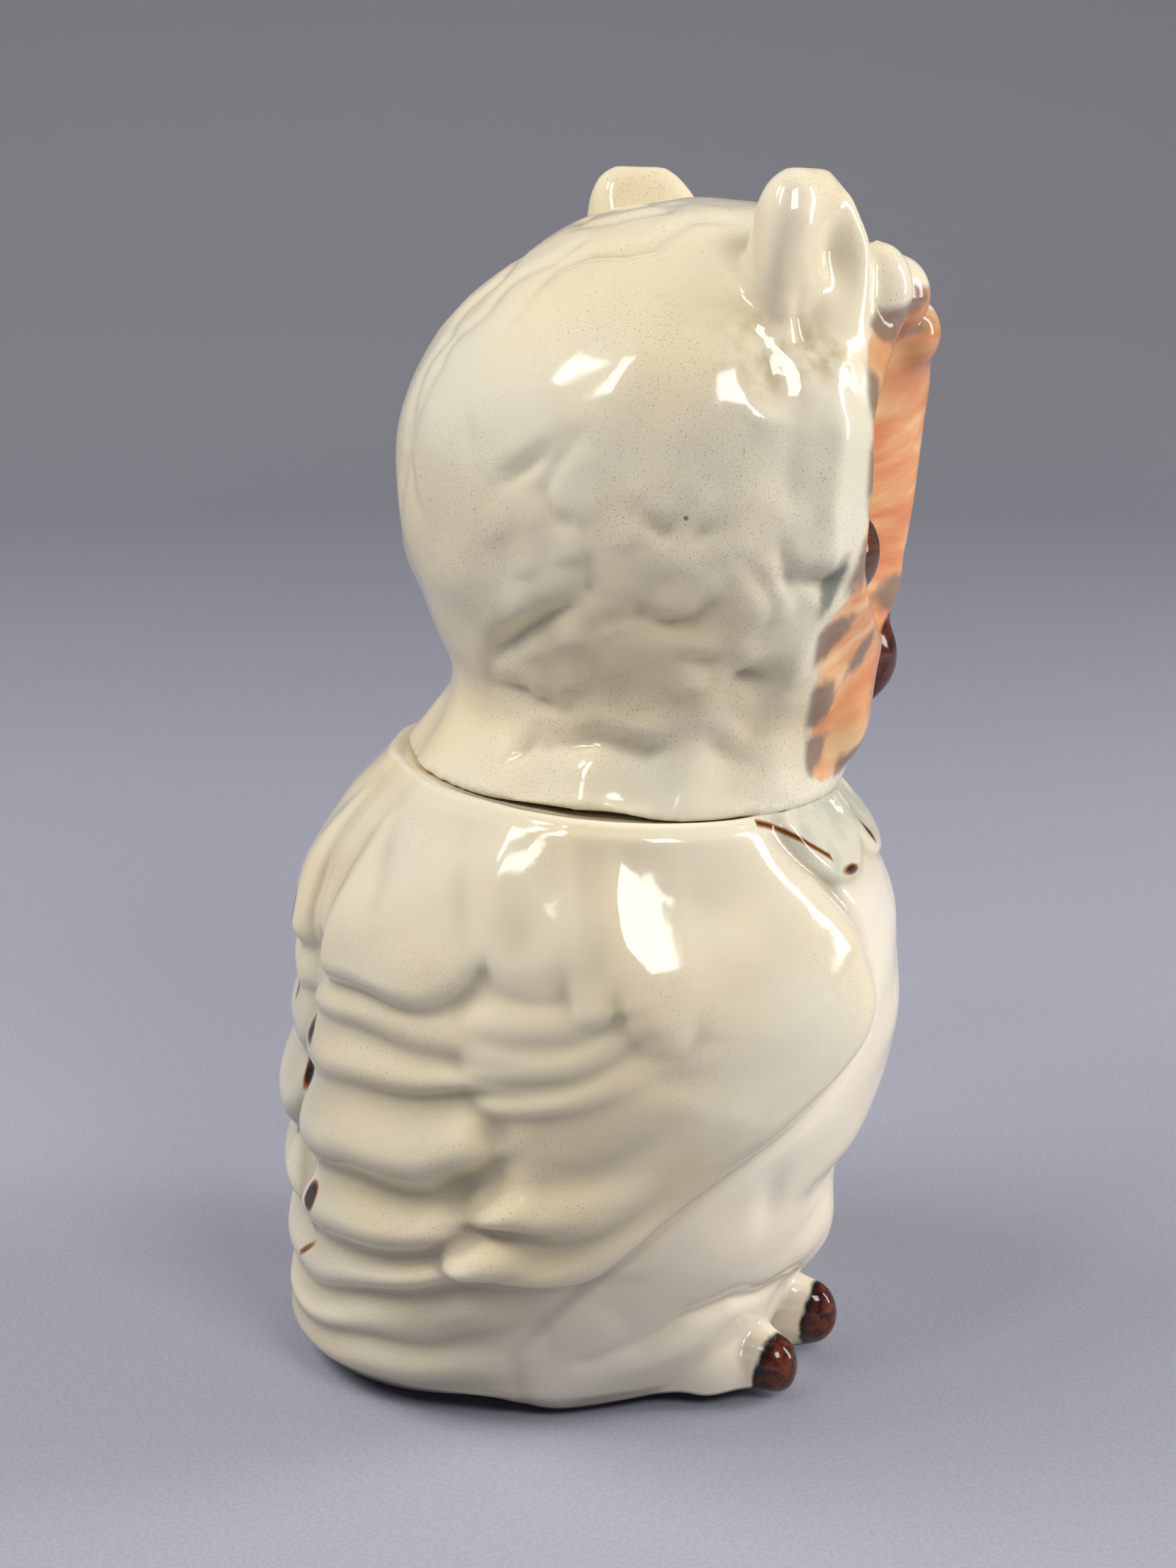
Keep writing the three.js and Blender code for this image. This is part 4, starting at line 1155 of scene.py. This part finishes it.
def paint_head():
    material, tree, coat, colour = glazed("cream_glaze_on_head", 1.15)
    where = place_of(tree)
    smut = step_between(tree, cloud(tree, where, 160, 4), 0.3, 0.7)
    smut = share_of(tree, number(tree, "dirt"), smut)
    colour = laid_over(tree, share_of(tree, smut, 0.75), colour, DUST)
    dab = reckon(tree, "MULTIPLY_ADD", cloud(tree, where, 300, 2), 3, number(tree, "grey"))
    dab = step_between(tree, dab, 3, 0.4)
    colour = laid_over(tree, share_of(tree, dab, 0.8), colour, GREY_DAB)
    ray = cloud(tree, rays_from_eye(tree, where), 1.7, 4, 0.55)
    warm = laid_over(tree, step_between(tree, ray, 0.34, 0.62), CORAL, PEACH)
    warm = laid_over(tree, step_between(tree, ray, 0.50, 0.76, 0, 0.8), warm, APRICOT)
    warm = laid_over(tree, step_between(tree, number(tree, "peach"), 5, 0, 0, 0.45), warm, PALE_EDGE)
    warm = laid_over(tree, share_of(tree, number(tree, "blush"), 0.65), warm, BLUSH)
    # painted shadow under the brows
    warm = laid_over(tree, share_of(tree, number(tree, "brow_shadow"), 0.38), warm, BROW_SHADOW)
    airbrush = reckon(tree, "MULTIPLY_ADD", cloud(tree, where, 150, 3), 4, number(tree, "peach"))
    colour = laid_over(tree, step_between(tree, airbrush, 1.4, 2.9), colour, warm)
    tip = brushed(tree, number(tree, "feather"), where, 2.6, 1.1)
    tip = share_of(tree, tip, step_between(tree, number(tree, "peach"), -3, 0, 0, 0.85))
    colour = laid_over(tree, tip, colour, FEATHER_TIP)
    eye = reckon(tree, "MULTIPLY_ADD", cloud(tree, where, 240, 2), 0.8, number(tree, "eye"))
    gaze = laid_over(tree, step_between(tree, ray, 0.35, 0.65), IRIS_DARK, IRIS_BROWN)
    for start, end, paint in EYE_BANDS:
        gaze = laid_over(tree, step_between(tree, eye, start, end), gaze, paint)
    colour = laid_over(tree, step_between(tree, eye, *EYE_EDGE), colour, gaze)
    mottle = step_between(tree, cloud(tree, where, 300, 3), 0.35, 0.65)
    horn = laid_over(tree, mottle, BEAK_DARK, BEAK_RED)
    colour = laid_over(tree, brushed(tree, number(tree, "beak"), where, 0.9, 0.4), colour, horn)
    plug(tree, coat.inputs["Base Color"], colour)
    return material


lid.data.materials.append(paint_head())
print("head paint:", len(lid.data.materials[0].node_tree.nodes), "nodes")

# %% [markdown]
# ## Studio
# The owl stands on pale paper that curves up all round, painted lighter farther out as painted light where
# the sweep rises. Two panes and two windows are what shows as bright shapes in the glaze. Two large screens
# light the front and the back softly and are kept out of the reflections. The standard view keeps the cream
# as warm as it was mixed. The camera stands by the owl's right side, a little behind it, and looks down
# fifteen degrees, as in the photograph.

# %% Paper
PAPER_LINE = [(0.01, 0), (1.5, 0), (2.0, 0.12), (2.4, 0.5), (2.6, 1.1), (2.6, 1.6)]
PAPER_DARK, PAPER_LIGHT, PAPER_FAR_LIT = (0.30, 0.31, 0.375), (0.33, 0.34, 0.405), (0.45, 0.455, 0.51)
sweep = bmesh.new()
drawn(sweep, [(r, 0, z) for r, z in PAPER_LINE])
spun(sweep, 96)
hole = [e for e in sweep.edges if e.is_boundary and e.verts[0].co.z < 0.01]
bmesh.ops.holes_fill(sweep, edges=hole, sides=0)
bmesh.ops.recalc_face_normals(sweep, faces=sweep.faces)
for face in sweep.faces:
    face.smooth = True
paper = as_object(sweep, "paper")
sweep.free()
paper_look = bpy.data.materials.new("pale_paper")
paper_look.use_nodes = True
tree = paper_look.node_tree
tooth = cloud(tree, place_of(tree), 900, 2)
tone = laid_over(tree, step_between(tree, tooth, 0.35, 0.65), PAPER_DARK, PAPER_LIGHT)
far = tree.nodes.new("ShaderNodeVectorMath")
far.operation = "LENGTH"
plug(tree, far.inputs[0], place_of(tree))
# painted light: the paper gets lighter farther from the owl, where the sweep rises
tone = laid_over(tree, step_between(tree, far.outputs["Value"], 0.7, 2.3), tone, PAPER_FAR_LIT)
plug(tree, tree.nodes["Principled BSDF"].inputs["Base Color"], tone)
tree.nodes["Principled BSDF"].inputs["Roughness"].default_value = 0.85
paper.data.materials.append(paper_look)
print("paper:", len(paper.data.polygons), "faces")

# %% Lights
world = bpy.data.worlds.new("room")
world.use_nodes = True
room = world.node_tree.nodes["Background"]
room.inputs[0].default_value = (1.0, 0.97, 0.93, 1)
room.inputs[1].default_value = 0.12
bpy.context.scene.world = world
LAMP_COLOUR = (1.0, 0.985, 0.96)
AIM = Vector((0, 0, 0.17))
# name, direction, distance, size, power, and whether the glaze mirrors it
LAMPS = [
    ("pane_left", (-0.08, 0.62, 0.78), 1.25, (0.15, 0.27), 1.6, True),
    ("pane_right", (-0.31, 0.56, 0.76), 1.25, (0.17, 0.42), 2.6, True),
    ("window_middle", (-0.74, -0.14, 0.60), 1.25, (0.40, 0.40), 6.5, True),
    ("window_right", (-0.28, -0.92, 0.30), 1.25, (0.22, 0.80), 5.5, True),
    ("screen_left", (0.32, 0.70, 0.72), 1.5, (0.9, 0.9), 18, False),
    ("screen_right", (-0.22, -0.88, 0.34), 1.5, (0.9, 0.9), 15, False),
]


def soft_box(name, towards, distance, size, power, mirrored):
    lamp = bpy.data.lights.new(name, "AREA")
    lamp.shape = "RECTANGLE"
    lamp.size, lamp.size_y = size
    lamp.energy = power
    lamp.color = LAMP_COLOUR
    made = bpy.data.objects.new(name, lamp)
    made.location = AIM + Vector(towards).normalized() * distance
    made.rotation_euler = Vector(towards).to_track_quat("Z", "Y").to_euler()
    made.visible_glossy = mirrored
    bpy.context.collection.objects.link(made)


for lamp in LAMPS:
    soft_box(*lamp)
bpy.context.scene.view_settings.view_transform = "Standard"
print("lights:", len(LAMPS))

# %% Camera
FOCAL_PX, FRAME_HEIGHT_PX, SENSOR = 3300, 2212, 36
CAMERA_PLACE = (-533.745, 194.267 + BODY_AXIS_Y, 297)
CAMERA_DOWN, CAMERA_TURN = math.radians(15), math.radians(20)
lens = bpy.data.cameras.new("camera")
lens.sensor_fit = "VERTICAL"
lens.sensor_height = SENSOR
lens.lens = FOCAL_PX / FRAME_HEIGHT_PX * SENSOR
lens.clip_start = 0.01
camera = bpy.data.objects.new("camera", lens)
camera.location = Vector(CAMERA_PLACE) * MM
level = math.cos(CAMERA_DOWN)
ahead = (level * math.cos(CAMERA_TURN), -level * math.sin(CAMERA_TURN), -math.sin(CAMERA_DOWN))
camera.rotation_euler = Vector(ahead).to_track_quat("-Z", "Y").to_euler()
bpy.context.collection.objects.link(camera)
bpy.context.scene.camera = camera
print("camera at", [round(v, 3) for v in camera.location])
